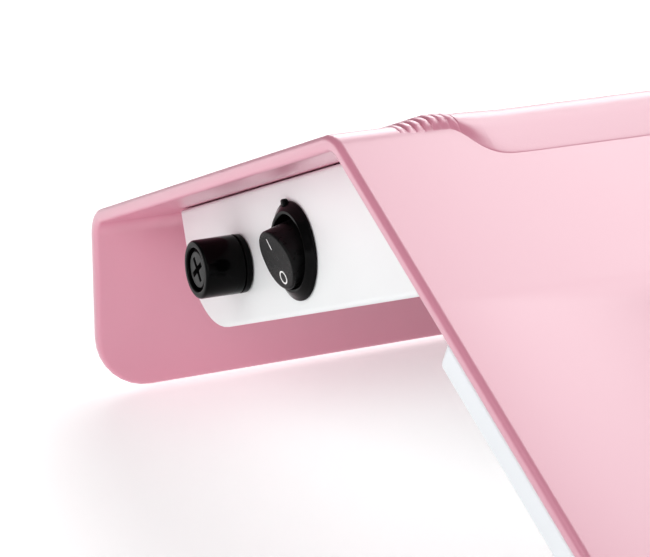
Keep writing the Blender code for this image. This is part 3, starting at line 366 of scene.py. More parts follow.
def moulded(name, color, roughness, cloud, cloud_change, grain, depth, spread=0.05,
            metallic=0.0, coat=0.0, ior=1.46, transmission=0.0, stretch=(1, 1, 1)):
    """A moulded or metal finish: slow colour clouds, an uneven gloss and a fine grain, all in metres."""
    look = bpy.data.materials.new(name)
    look.use_nodes = True
    tree = look.node_tree
    shader = tree.nodes["Principled BSDF"]
    values = {"Metallic": metallic, "Coat Weight": coat, "Coat Roughness": 0.36, "Coat IOR": 2.15, "IOR": ior,
              "Transmission Weight": transmission}
    for socket, value in values.items():
        shader.inputs[socket].default_value = value
    place = tree.nodes.new("ShaderNodeTexCoord")
    mapping = node(tree, "ShaderNodeMapping", Scale=stretch)
    tree.links.new(place.outputs["Object"], mapping.inputs["Vector"])
    clouds = node(tree, "ShaderNodeTexNoise", Scale=1 / cloud, Detail=3.0, Roughness=0.55)
    tree.links.new(mapping.outputs["Vector"], clouds.inputs["Vector"])
    ramp = tree.nodes.new("ShaderNodeValToRGB")
    for stop, position, change in zip(ramp.color_ramp.elements, (0.3, 0.7), (-cloud_change, cloud_change)):
        stop.position = position
        stop.color = [min(1.0, part * (1 + change)) for part in color] + [1]
    tree.links.new(clouds.outputs["Fac"], ramp.inputs["Fac"])
    tree.links.new(ramp.outputs["Color"], shader.inputs["Base Color"])
    gloss = node(tree, "ShaderNodeMapRange", From_Min=0.3, From_Max=0.7, To_Min=roughness - spread,
                 To_Max=roughness + spread)
    tree.links.new(clouds.outputs["Fac"], gloss.inputs["Value"])
    tree.links.new(gloss.outputs["Result"], shader.inputs["Roughness"])
    fine = node(tree, "ShaderNodeTexNoise", Scale=1 / grain, Detail=2.0, Roughness=0.6)
    tree.links.new(mapping.outputs["Vector"], fine.inputs["Vector"])
    bump = node(tree, "ShaderNodeBump", Strength=1.0, Distance=depth)
    tree.links.new(fine.outputs["Fac"], bump.inputs["Height"])
    tree.links.new(bump.outputs["Normal"], shader.inputs["Normal"])
    return look


# Base colour, roughness, cloud size and change, grain size and depth, then what differs from plain plastic
FINISHES = {
    "cover_plastic": ((0.66, 0.235, 0.335), 0.40, 0.05, 0.015, 0.0009, 0.000010,
                      dict(spread=0.03, ior=1.6, coat=1.0)),
    "palm_rest_plastic": ((0.66, 0.235, 0.335), 0.46, 0.03, 0.02, 0.0005, 0.000020,
                          dict(spread=0.04, ior=1.6, coat=0.95)),
    "white_plastic": ((0.89, 0.920, 0.920), 0.40, 0.04, 0.012, 0.0006, 0.000012, dict(spread=0.04)),
    "tray_plastic": ((0.85, 0.88, 0.91), 0.36, 0.04, 0.012, 0.0007, 0.000012, dict(spread=0.04)),
    "knob_plastic": ((0.0012, 0.0012, 0.0013), 0.13, 0.004, 0.25, 0.0003, 0.000004,
                     dict(spread=0.04, ior=1.20)),
    "bezel_plastic": ((0.0025, 0.0025, 0.0027), 0.17, 0.004, 0.25, 0.0002, 0.000008, dict(ior=1.20)),
    "rocker_plastic": ((0.0075, 0.0075, 0.0078), 0.30, 0.002, 0.3, 0.00014, 0.000020,
                       dict(spread=0.06, ior=1.22)),
    "disc_plastic": ((0.008, 0.008, 0.008), 0.40, 0.002, 0.3, 0.00015, 0.000018, dict(spread=0.06)),
    "dark_plastic": ((0.040, 0.041, 0.045), 0.46, 0.010, 0.2, 0.0003, 0.000016, dict(spread=0.06)),
    "foot_rubber": ((0.026, 0.026, 0.027), 0.78, 0.003, 0.3, 0.00025, 0.000040, dict(spread=0.08, ior=1.45)),
    "mark_white": ((0.84, 0.84, 0.83), 0.5, 0.001, 0.05, 0.0002, 0.000006, {}),
    "screw_steel": ((0.60, 0.60, 0.62), 0.30, 0.002, 0.12, 0.00012, 0.000010,
                    dict(spread=0.07, metallic=1.0)),
    "brushed_steel": ((0.58, 0.58, 0.60), 0.34, 0.003, 0.10, 0.0003, 0.000012,
                      dict(spread=0.08, metallic=1.0, stretch=(1, 1, 9))),
    "nickel_plate": ((0.74, 0.72, 0.69), 0.24, 0.002, 0.08, 0.0002, 0.000006, dict(metallic=1.0)),
    "turned_brass": ((0.76, 0.58, 0.28), 0.30, 0.002, 0.10, 0.0002, 0.000008,
                     dict(metallic=1.0, stretch=(1, 1, 6))),
    "board_lacquer": ((0.030, 0.160, 0.075), 0.34, 0.004, 0.22, 0.0006, 0.000020, dict(coat=0.4)),
    "fuse_glass": ((0.88, 0.93, 0.92), 0.07, 0.004, 0.03, 0.002, 0.000004,
                   dict(spread=0.02, ior=1.5, transmission=0.9)),
    "filter_frame_grey": ((0.30, 0.31, 0.33), 0.58, 0.01, 0.08, 0.0004, 0.000020, {}),
    "filter_paper": ((0.80, 0.79, 0.75), 0.88, 0.003, 0.07, 0.00035, 0.000090, dict(stretch=(1, 0.35, 1))),
    "floor_paper": ((0.93, 0.93, 0.93), 0.85, 0.3, 0.006, 0.002, 0.00001, dict(spread=0.02)),
}


def finish(name, color=None):
    """A finish by its name, made once; a setting's colour can stand in for its own."""
    if name not in LOOKS:
        own_color, *values, extra = FINISHES[name]
        LOOKS[name] = moulded(name, color or own_color, *values, **extra)
    return LOOKS[name]


# Settings

def length(name, text, default):
    return FloatProperty(name=name, description=text, default=default, min=0.0, unit="LENGTH",
                         subtype="DISTANCE", precision=5)


def amount(name, text, default, **limits):
    return FloatProperty(name=name, description=text, default=default, **limits)


def watts(side, default):
    return amount(f"{side} light", f"Power of the {side.lower()} softbox in watts", default)


def paint(name, text, default):
    return FloatVectorProperty(name=name, description=text, default=default, min=0.0, max=1.0, size=3,
                               subtype="COLOR")


class CoverSettings(PropertyGroup):
    color: paint("Colour", "Base colour of the moulded cover", (0.66, 0.235, 0.335))
    edge: length("Edge rounding", "How far the rim of the sheet is rounded over", 0.0014)
    opening_edge: length("Opening rounding", "Rounding along the top of the lid opening", 0.0005)


class PalmRestSettings(PropertyGroup):
    color: paint("Colour", "Base colour of the palm rest", (0.66, 0.235, 0.335))
    rib_pitch: length("Rib pitch", "Distance from one rib to the next", 0.0019)
    rib_count: IntProperty(name="Ribs", description="Ribs at each end", default=7, min=1, max=20)
    height: length("Height", "Height of the rest above the cover in its middle", 0.0009)
    rim_height: length("End height", "Height of the rest beside the ribs", 0.0013)


class TraySettings(PropertyGroup):
    edge: length("Edge rounding", "Rounding along the tray's outer edges", 0.0009)
    heel: length("Heel rounding", "Rounding of the tray's rear lower corner", 0.0026)


class CasingSettings(PropertyGroup):
    edge: length("Edge rounding", "Rounding round the casing's end walls", 0.0011)
    bend: length("Bend place", "How far down the roof the end wall starts to turn inwards", 0.037)
    taper: amount("Taper", "How much the end wall turns inwards in front of the bend", math.radians(3.2),
                  subtype="ANGLE")


class SwitchSettings(PropertyGroup):
    edge: length("Rocker edge", "Rounding round the rocker's face", 0.0006)
    ring: length("Ring size", "Outer radius of the ring mark", 0.00165)
    line: length("Mark width", "Width of the ring and line marks", 0.00042)


class FuseSettings(PropertyGroup):
    edge: length("Knob edge", "Rounding round the end of the fuse knob", 0.0007)


class LidSettings(PropertyGroup):
    edge: length("Edge rounding", "Rounding of the lid and its slots", 0.0006)


class HousingSettings(PropertyGroup):
    edge: length("Edge rounding", "Rounding of the fan housing's side edges", 0.0014)


class StageSettings(PropertyGroup):
    floor: length("Floor size", "Radius of the floor", 4.0)
    floor_color: paint("Floor colour", "Colour of the floor", (0.93, 0.93, 0.93))
    floor_glow: amount("Floor glow", "Light that the floor gives off by itself", 0.30)
    far_glow: amount("Far floor glow", "Light that the floor gives off far from the object", 1.0)
    glow_start: length("Glow start", "Distance at which the floor's glow starts to rise", 0.25)
    glow_end: length("Glow end", "Distance at which the floor's glow is at its far value", 1.1)
    room: amount("Room light", "Strength of the even light from the room", 0.23)
    top_light: watts("Top", 5.0)
    side_light: watts("Left", 3.6)
    rear_light: watts("Rear", 10.0)
    front_light: watts("Front", 5.4)


# Cover

def cover_corners():
    rear_y = SHELL_HIGH.y
    front_top = CREST_HEIGHT - FRONT_LENGTH * math.sin(FRONT_SLOPE)
    rear_top = CREST_HEIGHT - (rear_y - CREST_Y) * math.tan(REAR_SLOPE)
    return [(SHELL_LOW.y, FRONT_FOOT), (SHELL_LOW.y, front_top), (CREST_Y, CREST_HEIGHT), (rear_y, rear_top),
            (rear_y, REAR_FOOT)]


def cover_track():
    """Stations along the cover's outer side, front lip to rear foot: length so far, place, outward normal."""
    corners = [Vector(corner) for corner in cover_corners()]
    bends = [FRONT_BEND, CREST_BEND, REAR_BEND]
    places = [corners[0]]
    for i, radius in enumerate(bends):
        places += rounded_corner(corners[i], corners[i + 1], corners[i + 2], radius, 14)
    places.append(corners[-1])
    track = []
    total = 0.0
    for i, place in enumerate(places):
        if i:
            total += (place - places[i - 1]).length
        sides = []
        if i:
            sides.append((place - places[i - 1]).normalized())
        if i < len(places) - 1:
            sides.append((places[i + 1] - place).normalized())
        tangent = sum(sides, Vector((0, 0))).normalized()
        track.append((total, place, Vector((-tangent.y, tangent.x))))
    return track


def on_track(track, run):
    """The place and outward normal at a run along the track."""
    for before, after in zip(track, track[1:]):
        if run <= after[0] or after is track[-1]:
            share = (run - before[0]) / (after[0] - before[0])
            return before[1].lerp(after[1], share), before[2].lerp(after[2], share).normalized()


def cover_side(track):
    """The right half of the sheet's flat outline: the middle, radius and angle of each point's arc."""
    total = track[-1][0]
    turns = [math.pi / 2 * i / CURVE_STEPS for i in range(CURVE_STEPS + 1)]
    center = (HALF_WIDTH - FRONT_CORNER, FRONT_CORNER)
    points = [(center, FRONT_CORNER, turn - math.pi / 2) for turn in turns]
    runs = [run for run, _, _ in track if FRONT_CORNER + 0.0005 < run < total - REAR_CORNER - 0.0005]
    filled = [FRONT_CORNER]
    for run in runs + [total - REAR_CORNER]:
        pieces = max(1, math.ceil((run - filled[-1]) / 0.012))
        start = filled[-1]
        filled += [start + (run - start) * k / pieces for k in range(1, pieces + 1)]
    points += [((HALF_WIDTH, run), 0.0, 0.0) for run in filled[1:-1]]
    center = (HALF_WIDTH - REAR_CORNER, total - REAR_CORNER)
    return points + [(center, REAR_CORNER, turn) for turn in turns]


def cover_sheet(edge):
    """The bent sheet with its whole rim rounded over."""
    track = cover_track()
    side = cover_side(track)
    rim = []
    for i in range(6):
        angle = math.pi / 2 * (1 - i / 5)
        rim.append((edge * (1 - math.cos(angle)), -edge * (1 - math.sin(angle))))
    rim += [(inset, -SHELL_WALL - height) for inset, height in reversed(rim)]
    form = bmesh.new()
    loops = []
    for inset, height in rim:
        right = []
        for (x, run), radius, angle in side:
            reach = radius - inset
            right.append((x + reach * math.cos(angle), run + reach * math.sin(angle)))
        loop = []
        for x, run in right + [(-x, run) for x, run in reversed(right)]:
            place, normal = on_track(track, run)
            place = place + normal * height
            loop.append(form.verts.new((x, place.x, place.y)))
        loops.append(loop)
    count = len(loops[0])
    for before, after in zip(loops, loops[1:]):
        for i in range(count):
            j = (i + 1) % count
            form.faces.new((before[i], before[j], after[j], after[i]))
    for loop in (loops[0], loops[-1]):
        for i in range(count // 2 - 1):
            form.faces.new((loop[i], loop[i + 1], loop[count - 2 - i], loop[count - 1 - i]))
    return new_mesh(form, "cover_sheet")


class MakeCover(Operator):
    """Make the bent cover with its rounded rim and the lid opening"""
    bl_idname = "collector.make_cover"
    bl_label = "Cover"

    def execute(self, context):
        settings = context.scene.collector_cover
        half = LID_WIDTH / 2
        front = -LID_START - LID_LENGTH
        opening = rounded_loop([(-half, front), (half, front), (half, -LID_START), (-half, -LID_START)],
                               [LID_CORNER] * 2 + [0, 0])
        mesh = shaped(cover_sheet(settings.edge), [(CUT, plate([opening], -0.02, 0.01, FRONT))])
        back = FRONT.inverted()

        def on_opening(place):
            local = back @ place
            inside = abs(local.x) < half + 1e-4 and front - 1e-4 < local.y < -LID_START + 1e-4
            return inside and local.z > -SHELL_WALL / 2

        round_edges(mesh, settings.opening_edge, on_opening)
        add_piece("cover", mesh, finish("cover_plastic", settings.color), "main_body", "pink_plastic",
                  "top_shell")
        return {"FINISHED"}


# Palm rest

def crest_place(run, lift):
    """A place near the crest: run is negative down the front slope and positive down the roof."""
    half_turn = (REAR_SLOPE + FRONT_SLOPE) / 2
    reach = CREST_BEND * math.tan(half_turn)
    if run <= -reach:
        return FRONT @ Vector((0, run, lift))
    if run >= reach:
        return REAR @ Vector((0, run, lift))
    start = FRONT @ Vector((0, -reach, -CREST_BEND))
    angle = math.pi / 2 + FRONT_SLOPE - (run + reach) / (2 * reach) * 2 * half_turn
    radius = CREST_BEND + lift
    return start + Vector((0, math.cos(angle), math.sin(angle))) * radius


def eased(points, at, window=0.0010):
    """A line through points, softened over a short window."""
    def straight(value):
        if value <= points[0][0]:
            return points[0][1]
        for (x0, y0), (x1, y1) in zip(points, points[1:]):
            if value <= x1:
                return y0 + (y1 - y0) * (value - x0) / (x1 - x0)
        return points[-1][1]
    shares = [straight(at + window * k / 3) for k in range(-3, 4)]
    return sum(shares) / len(shares)


# Heights, and outline points as distance in from the cover's edge and run from the crest
RIB_FIRST, RIB_STEPS = 0.0158, 12
RIB_DIP = 0.0006
REST_EDGE, REST_FINE_WIDTH, REST_STEPS = 0.0137, 0.0300, 18
REST_DISH_WIDTH = 0.014
REST_SUNK, REST_DEPTH = 0.00008, 0.0008
FRONT_RAMP, REAR_RAMP = 0.0046, 0.0022
FADE_START, FADE_EDGE, FADE_WIDTH, FADE_LEFT = 0.001, 0.027, 0.006, 0.36
RIB_PEAKS = [0.00035, 0.0007, 0.0010, 0.0014, 0.0017, 0.0017, 0.0016]
REST_FRONT = [(0.0255, 0.0037), (0.0266, 0.0039), (0.0276, 0.0048), (0.0300, 0.0087), (0.0313, 0.0105),
              (0.0335, 0.0122), (0.0360, 0.0129), (0.0420, 0.0131)]
REST_REAR = [(0.0135, 0.0200), (0.0160, 0.0290), (0.0190, 0.0330), (0.0240, 0.0345)]


def rib_height(across, settings):
    """Height of the ribbed end at a distance from the cover's edge."""
    place = (across - RIB_FIRST) / settings.rib_pitch
    index = round(place)
    if index < 0 or index >= settings.rib_count:
        return 0.0
    peak = RIB_PEAKS[min(index, len(RIB_PEAKS) - 1)]
    off = abs(place - index)
    crown = math.sqrt(max(0.0, 1 - (off / 0.5) ** 2))
    return max(0.0, peak - RIB_DIP * (1 - crown))


def rest_height(across, settings):
    """Height of the rest before its edges are rounded down."""
    last = RIB_FIRST + settings.rib_pitch * (settings.rib_count - 0.5)
    if across < last:
        return rib_height(across, settings)
    dish = min(1.0, (across - last) / REST_DISH_WIDTH)
    return settings.rim_height + (settings.height - settings.rim_height) * (3 * dish ** 2 - 2 * dish ** 3)


def front_fade(across, run, front):
    """How much of the rest's height is left down the front slope: the ribs run out and the middle thins."""
    if run > -FADE_START:
        return 1.0
    down = min(1.0, (-run - FADE_START) / (front - FADE_START))
    left = min(1.0, max(0.0, (across - FADE_EDGE) / FADE_WIDTH)) * FADE_LEFT
    return 1 - (1 - left) * (3 * down ** 2 - 2 * down ** 3)


def rest_stations(settings):
    """Distances in from the cover's edge, close together over the ribs."""
    fine = settings.rib_pitch / RIB_STEPS
    across = [REST_EDGE + fine * k for k in range(int(REST_FINE_WIDTH / fine))]
    wide = HALF_WIDTH - across[-1]
    return across + [across[-1] + wide * k / REST_STEPS for k in range(1, REST_STEPS + 1)]


def rest_strip(x, across, shares, settings):
    """One row of the rest from front to rear: places on its top and under it."""
    front, rear = eased(REST_FRONT, across), eased(REST_REAR, across)
    full = rest_height(across, settings)
    upper, lower = [], []
    for share in shares:
        run = -front + (front + rear) * share
        rise = min(1.0, (run + front) / FRONT_RAMP, (rear - run) / REAR_RAMP)
        crown = math.sqrt(max(0.0, 1 - (1 - rise) ** 2))
        height = full * crown * front_fade(across, run, front) - REST_SUNK
        for places, lift in ((upper, height), (lower, -REST_DEPTH)):
            place = crest_place(run, lift)
            places.append((x, place.y, place.z))
    return upper, lower


def rest_mesh(settings):
    across = rest_stations(settings)
    columns = [(-HALF_WIDTH + t, t) for t in across] + [(HALF_WIDTH - t, t) for t in reversed(across[:-1])]
    shares = [0.0, 0.004, 0.012, 0.024, 0.04, 0.06]
    shares += [0.06 + 0.88 * k / 44 for k in range(1, 45)]
    shares += [0.96, 0.976, 0.988, 0.996, 1.0]
    form = bmesh.new()
    top, bottom = [], []
    for x, t in columns:
        for rows, places in zip((top, bottom), rest_strip(x, t, shares, settings)):
            rows.append([form.verts.new(place) for place in places])
    last = len(shares) - 1
    for sheet, way in ((top, 1), (bottom, -1)):
        for a, b in zip(sheet, sheet[1:]):
            for j in range(last):
                form.faces.new((a[j], b[j], b[j + 1], a[j + 1])[::way])
    for i in range(len(top) - 1):
        for j in (0, last):
            form.faces.new((top[i][j], bottom[i][j], bottom[i + 1][j], top[i + 1][j]))
    for over, under in ((top[0], bottom[0]), (top[-1], bottom[-1])):
        for j in range(last):
            form.faces.new((over[j], over[j + 1], under[j + 1], under[j]))
    return new_mesh(form, "palm_rest")


class MakePalmRest(Operator):
    """Make the palm rest on the crest, with its ribbed ends and dished middle"""
    bl_idname = "collector.make_palm_rest"
    bl_label = "Palm rest"

    def execute(self, context):
        settings = context.scene.collector_palm_rest
        look = finish("palm_rest_plastic", settings.color)
        add_piece("palm_rest", rest_mesh(settings), look, "main_body", "pad_pink", "palm_pad")
        return {"FINISHED"}


# Tray

class MakeTray(Operator):
    """Make the white tray under the front slope"""
    bl_idname = "collector.make_tray"
    bl_label = "Tray"

    def execute(self, context):
        settings = context.scene.collector_tray
        half = HALF_WIDTH - TRAY_SIDE_INSET
        end = -FRONT_LENGTH + TRAY_END_GAP
        corners = [(-half, end), (half, end), (half, -TRAY_START), (-half, -TRAY_START)]
        lid_half = LID_WIDTH / 2
        opening = rectangle(-lid_half, lid_half, -LID_START - LID_LENGTH, -LID_START - 0.002, LID_CORNER)
        outline = rounded_loop(corners, [0.006] * 2 + [0.0022] * 2)
        mesh = plate([outline, opening], -TRAY_BOTTOM, -TRAY_TOP, FRONT, settings.edge)
        heel = settings.heel
        over = 0.002
        arc = [(-TRAY_START - heel * (1 - math.sin(a)), -TRAY_BOTTOM + heel * (1 - math.cos(a)))
               for a in [math.pi / 2 * i / 6 for i in range(7)]]
        waste = [(-TRAY_START + over, -TRAY_BOTTOM - over), (-TRAY_START - heel, -TRAY_BOTTOM - over)] + arc
        waste.append((-TRAY_START + over, -TRAY_BOTTOM + heel))
        side = FRONT @ across_profile()
        cutter = plate([waste], -half - 0.01, half + 0.01, side)
        mesh = shaped(mesh, [(CUT, cutter)])
        add_piece("tray", mesh, finish("tray_plastic"), "main_body", "white_plastic", "lower_tray")
        return {"FINISHED"}


# Lid

def lid_slots():
    border, bar, pitch, width = 0.011, 0.008, 0.0064, 0.0034
    half = LID_WIDTH / 2 - border
    rows = 13
    first = -LID_START - (LID_LENGTH - (rows - 1) * pitch) / 2
    loops = []
    for row in range(rows):
        y = first - row * pitch
        loops += [rectangle(left, right, y - width / 2, y + width / 2, width * 0.48, 5)
                  for left, right in ((-half, -bar / 2), (bar / 2, half))]
    return loops


class MakeLid(Operator):
    """Make the slotted lid with its hinge barrel and finger tab"""
    bl_idname = "collector.make_lid"
    bl_label = "Grille lid"

    def execute(self, context):
        settings = context.scene.collector_lid
        gap = 0.0005
        tab_top = node_box("grille_lid", FRONT)[1].z
        half = LID_WIDTH / 2 - gap
        front = -LID_START - LID_LENGTH + gap
        _, axis_y, axis_z = FRONT.inverted() @ Vector(JOINTS["lid_hinge"]["pos_m"])
        top, bottom = -0.0004, -0.0032
        outline = rounded_loop([(-half, front), (half, front), (half, axis_y - 0.0004),
                                (-half, axis_y - 0.0004)],
                               [LID_CORNER - gap] * 2 + [0, 0])
        mesh = plate([outline] + lid_slots(), bottom, top, FRONT, settings.edge)
        axis = FRONT @ Matrix.Translation((0, axis_y, axis_z)) @ Matrix.Rotation(math.pi / 2, 4, "Y")
        reach = half - GAP
        barrel = turned([(0, reach), (0.0015, reach), (0.0015, -reach), (0, -reach)],
                        [0, 0.0003, 0.0003, 0], axis, 28)
        tab = plate([rectangle(-0.015, 0.015, front + 0.0025, front + 0.0065, 0.0012)], -0.0014, tab_top,
                    FRONT, 0.0007)
        add_piece("lid", joined([mesh, barrel, tab]), finish("white_plastic"), "grille_door",
                  "white_plastic", "grille_lid")
        return {"FINISHED"}


# Power casing

def casing_loop(inset, open_top):
    start, end = CASING_START + inset, CASING_END - inset
    low, top = -CASING_BOTTOM + inset, -CASING_TOP + open_top
    return rounded_loop([(start, low), (end, low), (end, top), (start, top)], [0.003, 0.018 - inset, 0, 0],
                        12)


def turn_in(mesh, bend, taper):
    """Turns the end walls inwards in front of the bend, over a short soft curve."""
    form = bmesh.new()
    form.from_mesh(mesh)
    back = REAR.inverted()
    normal = REAR.to_3x3() @ Vector((0, 1, 0))
    soft = 0.0045
    for k in range(-3, 4):
        geometry = list(form.verts) + list(form.edges) + list(form.faces)
        place = REAR @ Vector((0, bend + soft * k / 3, 0))
        bmesh.ops.bisect_plane(form, geom=geometry, plane_co=place, plane_no=normal, dist=1e-6)
    for vert in form.verts:
        run = (back @ vert.co).y
        ahead = bend + soft - run
        if ahead > 0:
            fold = ahead ** 2 / (4 * soft) if ahead < 2 * soft else ahead - soft
            share = abs(vert.co.x) / CASING_HALF_WIDTH
            vert.co.x -= math.copysign(math.tan(taper) * fold * share, vert.co.x)
    form.to_mesh(mesh)
    form.free()
    return mesh


class MakeCasing(Operator):
    """Make the white power casing with its turned-in end walls"""
    bl_idname = "collector.make_casing"
    bl_label = "Power casing"

    def execute(self, context):
        settings = context.scene.collector_casing
        side = REAR @ across_profile()
        half, wall = CASING_HALF_WIDTH, CASING_WALL
        inlet_low, inlet_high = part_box("mains_inlet")
        middle = (inlet_low + inlet_high) / 2
        inlet = wall_frame((half, middle.y, middle.z), 1)
        floor = -CASING_BOTTOM + wall
        spots = [spot.xy for spot in node_middles("casing_screw", 4, REAR)]
        posts = [(x, run) for x in (-BOARD_POST_X, BOARD_POST_X) for run in BOARD_POST_RUNS]
        vents = [rectangle(x - 0.0015, x + 0.0015, 0.060, 0.084, 0.0014)
                 for x in [-0.030 + 0.010 * i for i in range(7)]]
        hole = [(0, 0, -0.008, 0.004)]
        under = -CASING_BOTTOM - 0.001
        sink = -CASING_BOTTOM + SCREW_SINK
        inlet_hole = rectangle(-0.0115, 0.0115, -0.0065, 0.0065, 0.003)
        steps = [
            (CUT, plate([casing_loop(wall, 0.01)], -half + wall, half - wall, side)),
            (ADD, rods(0.003, [(x, y, floor - 0.001, floor + 0.004) for x, y in posts], REAR, 24)),
            (CUT, rods(PILOT_RADIUS, [(x, y, floor + 0.0005, floor + 0.006) for x, y in posts], REAR, 16)),
            (ADD, rods(0.0048, [(x, y, floor - 0.001, floor + 0.002) for x, y in spots], REAR, 32)),
            (CUT, rods(PILOT_RADIUS, [(x, y, under, floor + 0.003) for x, y in spots], REAR, 24)),
            (CUT, rods(SINK_RADIUS, [(x, y, under, sink) for x, y in spots], REAR, 32)),
            (CUT, rods(SWITCH_HOLE_RADIUS, hole, SWITCH_FRAME, 48)),
            (CUT, rods(FUSE_HOLE_RADIUS, hole, FUSE_FRAME, 48)),
            (CUT, plate([inlet_hole], -0.008, 0.004, inlet)),
        ]
        for vent in vents:
            steps.append((CUT, plate([vent], floor - 0.005, floor + 0.005, REAR)))
        mesh = shaped(plate([casing_loop(0, 0)], -half, half, side, settings.edge, 3), steps)
        turn_in(mesh, settings.bend, settings.taper)
        add_piece("casing", mesh, finish("white_plastic"), "main_body", "white_plastic", "power_casing")
        return {"FINISHED"}


# Switch

ROCKER_RADIUS, ROCKER_FACE, ROCKER_BOTTOM = 0.00735, 0.0058, 0.0025
PIN_RADIUS = 0.0011


def rocker_face(y):
    """Height of the rocker's shallow V face."""
    soft = 0.0009
    return ROCKER_FACE + (math.hypot(y, soft) - soft) * math.tan(ROCKER_DISH)


def rocker_mesh(edge):
    steps = 96
    rings = [(ROCKER_RADIUS - edge) * k / 14 for k in range(1, 15)]
    drops = [0.0] * len(rings)
    for k in range(1, 6):
        angle = math.pi / 2 * k / 5
        rings.append(ROCKER_RADIUS - edge + edge * math.sin(angle))
        drops.append(edge * (1 - math.cos(angle)))
    form = bmesh.new()
    middle = form.verts.new((0, 0, rocker_face(0)))
    loops = []
    for radius, drop in zip(rings, drops):
        loop = []
        for i in range(steps):
            angle = 2 * math.pi * i / steps
            x, y = radius * math.cos(angle), radius * math.sin(angle)
            loop.append(form.verts.new((x, y, rocker_face(y) - drop)))
        loops.append(loop)
    for share in (0.33, 0.66, 1.0):
        loops.append([form.verts.new((v.co.x, v.co.y, v.co.z + (-ROCKER_BOTTOM - v.co.z) * share))
                      for v in loops[len(rings) - 1]])
    for i in range(steps):
        form.faces.new((middle, loops[0][i], loops[0][(i + 1) % steps]))
    for before, after in zip(loops, loops[1:]):
        for i in range(steps):
            j = (i + 1) % steps
            form.faces.new((before[i], after[i], after[j], before[j]))
    form.faces.new(loops[-1])
    return new_mesh(form, "rocker_button", ROCKER_FRAME)


def on_face(y):
    lean = math.copysign(ROCKER_DISH, y)
    return ROCKER_FRAME @ Matrix.Translation((0, y, rocker_face(y))) @ Matrix.Rotation(lean, 4, "X")


class MakeSwitch(Operator):
    """Make the round rocker switch: bezel, well, rocker and its ring and line marks"""
    bl_idname = "collector.make_switch"
    bl_label = "Rocker switch"

    def execute(self, context):
        settings = context.scene.collector_switch
        bezel, well, body = 0.01165, 0.0086, 0.0099
        top, back, well_floor = 0.0022, -0.0135, -0.0062
        corners = [(well, top), (well + 0.0009, top), (bezel - 0.0007, top / 2), (bezel, 0.0007),
                   (bezel, GAP), (body, GAP), (body, back), (0, back), (0, well_floor), (well, well_floor)]
        ring = turned(corners, [0.0003, 0.0004, 0.0004, 0.0003, 0, 0, 0.0006, 0, 0, 0.0004], SWITCH_FRAME, 96)
        key = plate([rectangle(-0.0009, 0.0009, -bezel - 0.0006, -bezel + 0.0012, 0.0006)], GAP, 0.0017,
                    SWITCH_FRAME, 0.0004)
        pin_place = ROCKER_FRAME @ Matrix.Rotation(math.pi / 2, 4, "Y")
        pin_bore = rods(PIN_RADIUS, [(0, 0, -0.0096, 0.0096)], pin_place, 20)
        ring = shaped(ring, [(CUT, pin_bore)])
        add_piece("switch_bezel", joined([ring, key]), finish("bezel_plastic"), "main_body",
                  "black_plastic", "switch_body")
        bore = rods(PIN_RADIUS, [(0, 0, -0.012, 0.012)], pin_place, 20)
        button = shaped(rocker_mesh(settings.edge), [(CUT, bore)])
        add_piece("switch_button", button, finish("rocker_plastic"), "rocker_button", "black_plastic",
                  "rocker")
        outer, line = settings.ring, settings.line
        mark = turned([(outer - line, 0.00006), (outer, 0.00006), (outer, -0.0002), (outer - line, -0.0002)],
                      [0.00002, 0.00002, 0, 0], on_face(0.0042), 48, 2)
        bar = plate([rectangle(-line * 0.36, line * 0.36, -0.0015, 0.0013, line * 0.3)], -0.0002, 0.00006,
                    on_face(-0.0040), 0.00002, 1)
        add_piece("switch_marks", joined([mark, bar]), finish("mark_white"), "rocker_button", "white_plastic")
        return {"FINISHED"}


# Fuse holder

class MakeFuse(Operator):
    """Make the fuse holder and its knob with the cross slot"""
    bl_idname = "collector.make_fuse"
    bl_label = "Fuse holder"

    def execute(self, context):
        settings = context.scene.collector_fuse
        radius, bore, body = 0.00725, 0.0034, 0.0060
        flange = GAP + 0.0016
        corners = [(bore, flange), (radius, flange), (radius, GAP), (body, GAP), (body, -0.022), (0, -0.022),
                   (0, -0.0205), (bore, -0.0205)]
        mesh = turned(corners, [0, 0.0002, 0.0003, 0, 0.0005, 0, 0, 0], FUSE_FRAME, 96)
        add_piece("fuse_base", mesh, finish("knob_plastic"), "main_body", "black_plastic", "fuse_holder")
        top, under = 0.0124, flange + GAP
        groove, disc = 0.0053, 0.0045
        corners = [(0, top - 0.0016), (groove, top - 0.0016), (groove, top), (radius - 0.0001, top),
                   (radius, under), (bore, under), (bore, top - 0.003), (0, top - 0.003)]
        knob = turned(corners, [0, 0.0002, 0.0004, settings.edge, 0.0002, 0, 0, 0], FUSE_FRAME, 96)
        turns = [FUSE_FRAME @ Matrix.Rotation(math.radians(turn), 4, "Z") for turn in (20, 110)]
        slots = [(CUT, block((0.0064, 0.0013, 0.0036), [(0, 0, top)], turn)) for turn in turns]
        add_piece("fuse_knob", shaped(knob, slots), finish("knob_plastic"), "fuse_cap_body",
                  "black_plastic", "fuse_cap")
        plug = turned([(0, top - 0.0005), (disc, top - 0.0005), (disc, top - 0.0018), (0, top - 0.0018)],
                      [0, 0.0003, 0, 0], FUSE_FRAME, 72)
        add_piece("fuse_knob_disc", shaped(plug, slots), finish("disc_plastic"), "fuse_cap_body",
                  "black_plastic")
        return {"FINISHED"}


# Fan housing, floor and feet

VENT_COUNT, VENT_PITCH, VENT_WIDTH = 12, 0.0092, 0.0038
VENT_LOW, VENT_HIGH = 0.014, 0.038


def side_blocks(half, front):
    """Two cutting blocks beside the housing's narrow rear end."""
    depth = 0.2
    centers = [(side * (half + depth / 2), front + depth / 2, 0.05) for side in (-1, 1)]
    return block((depth, depth, 0.2), centers, LEVEL)


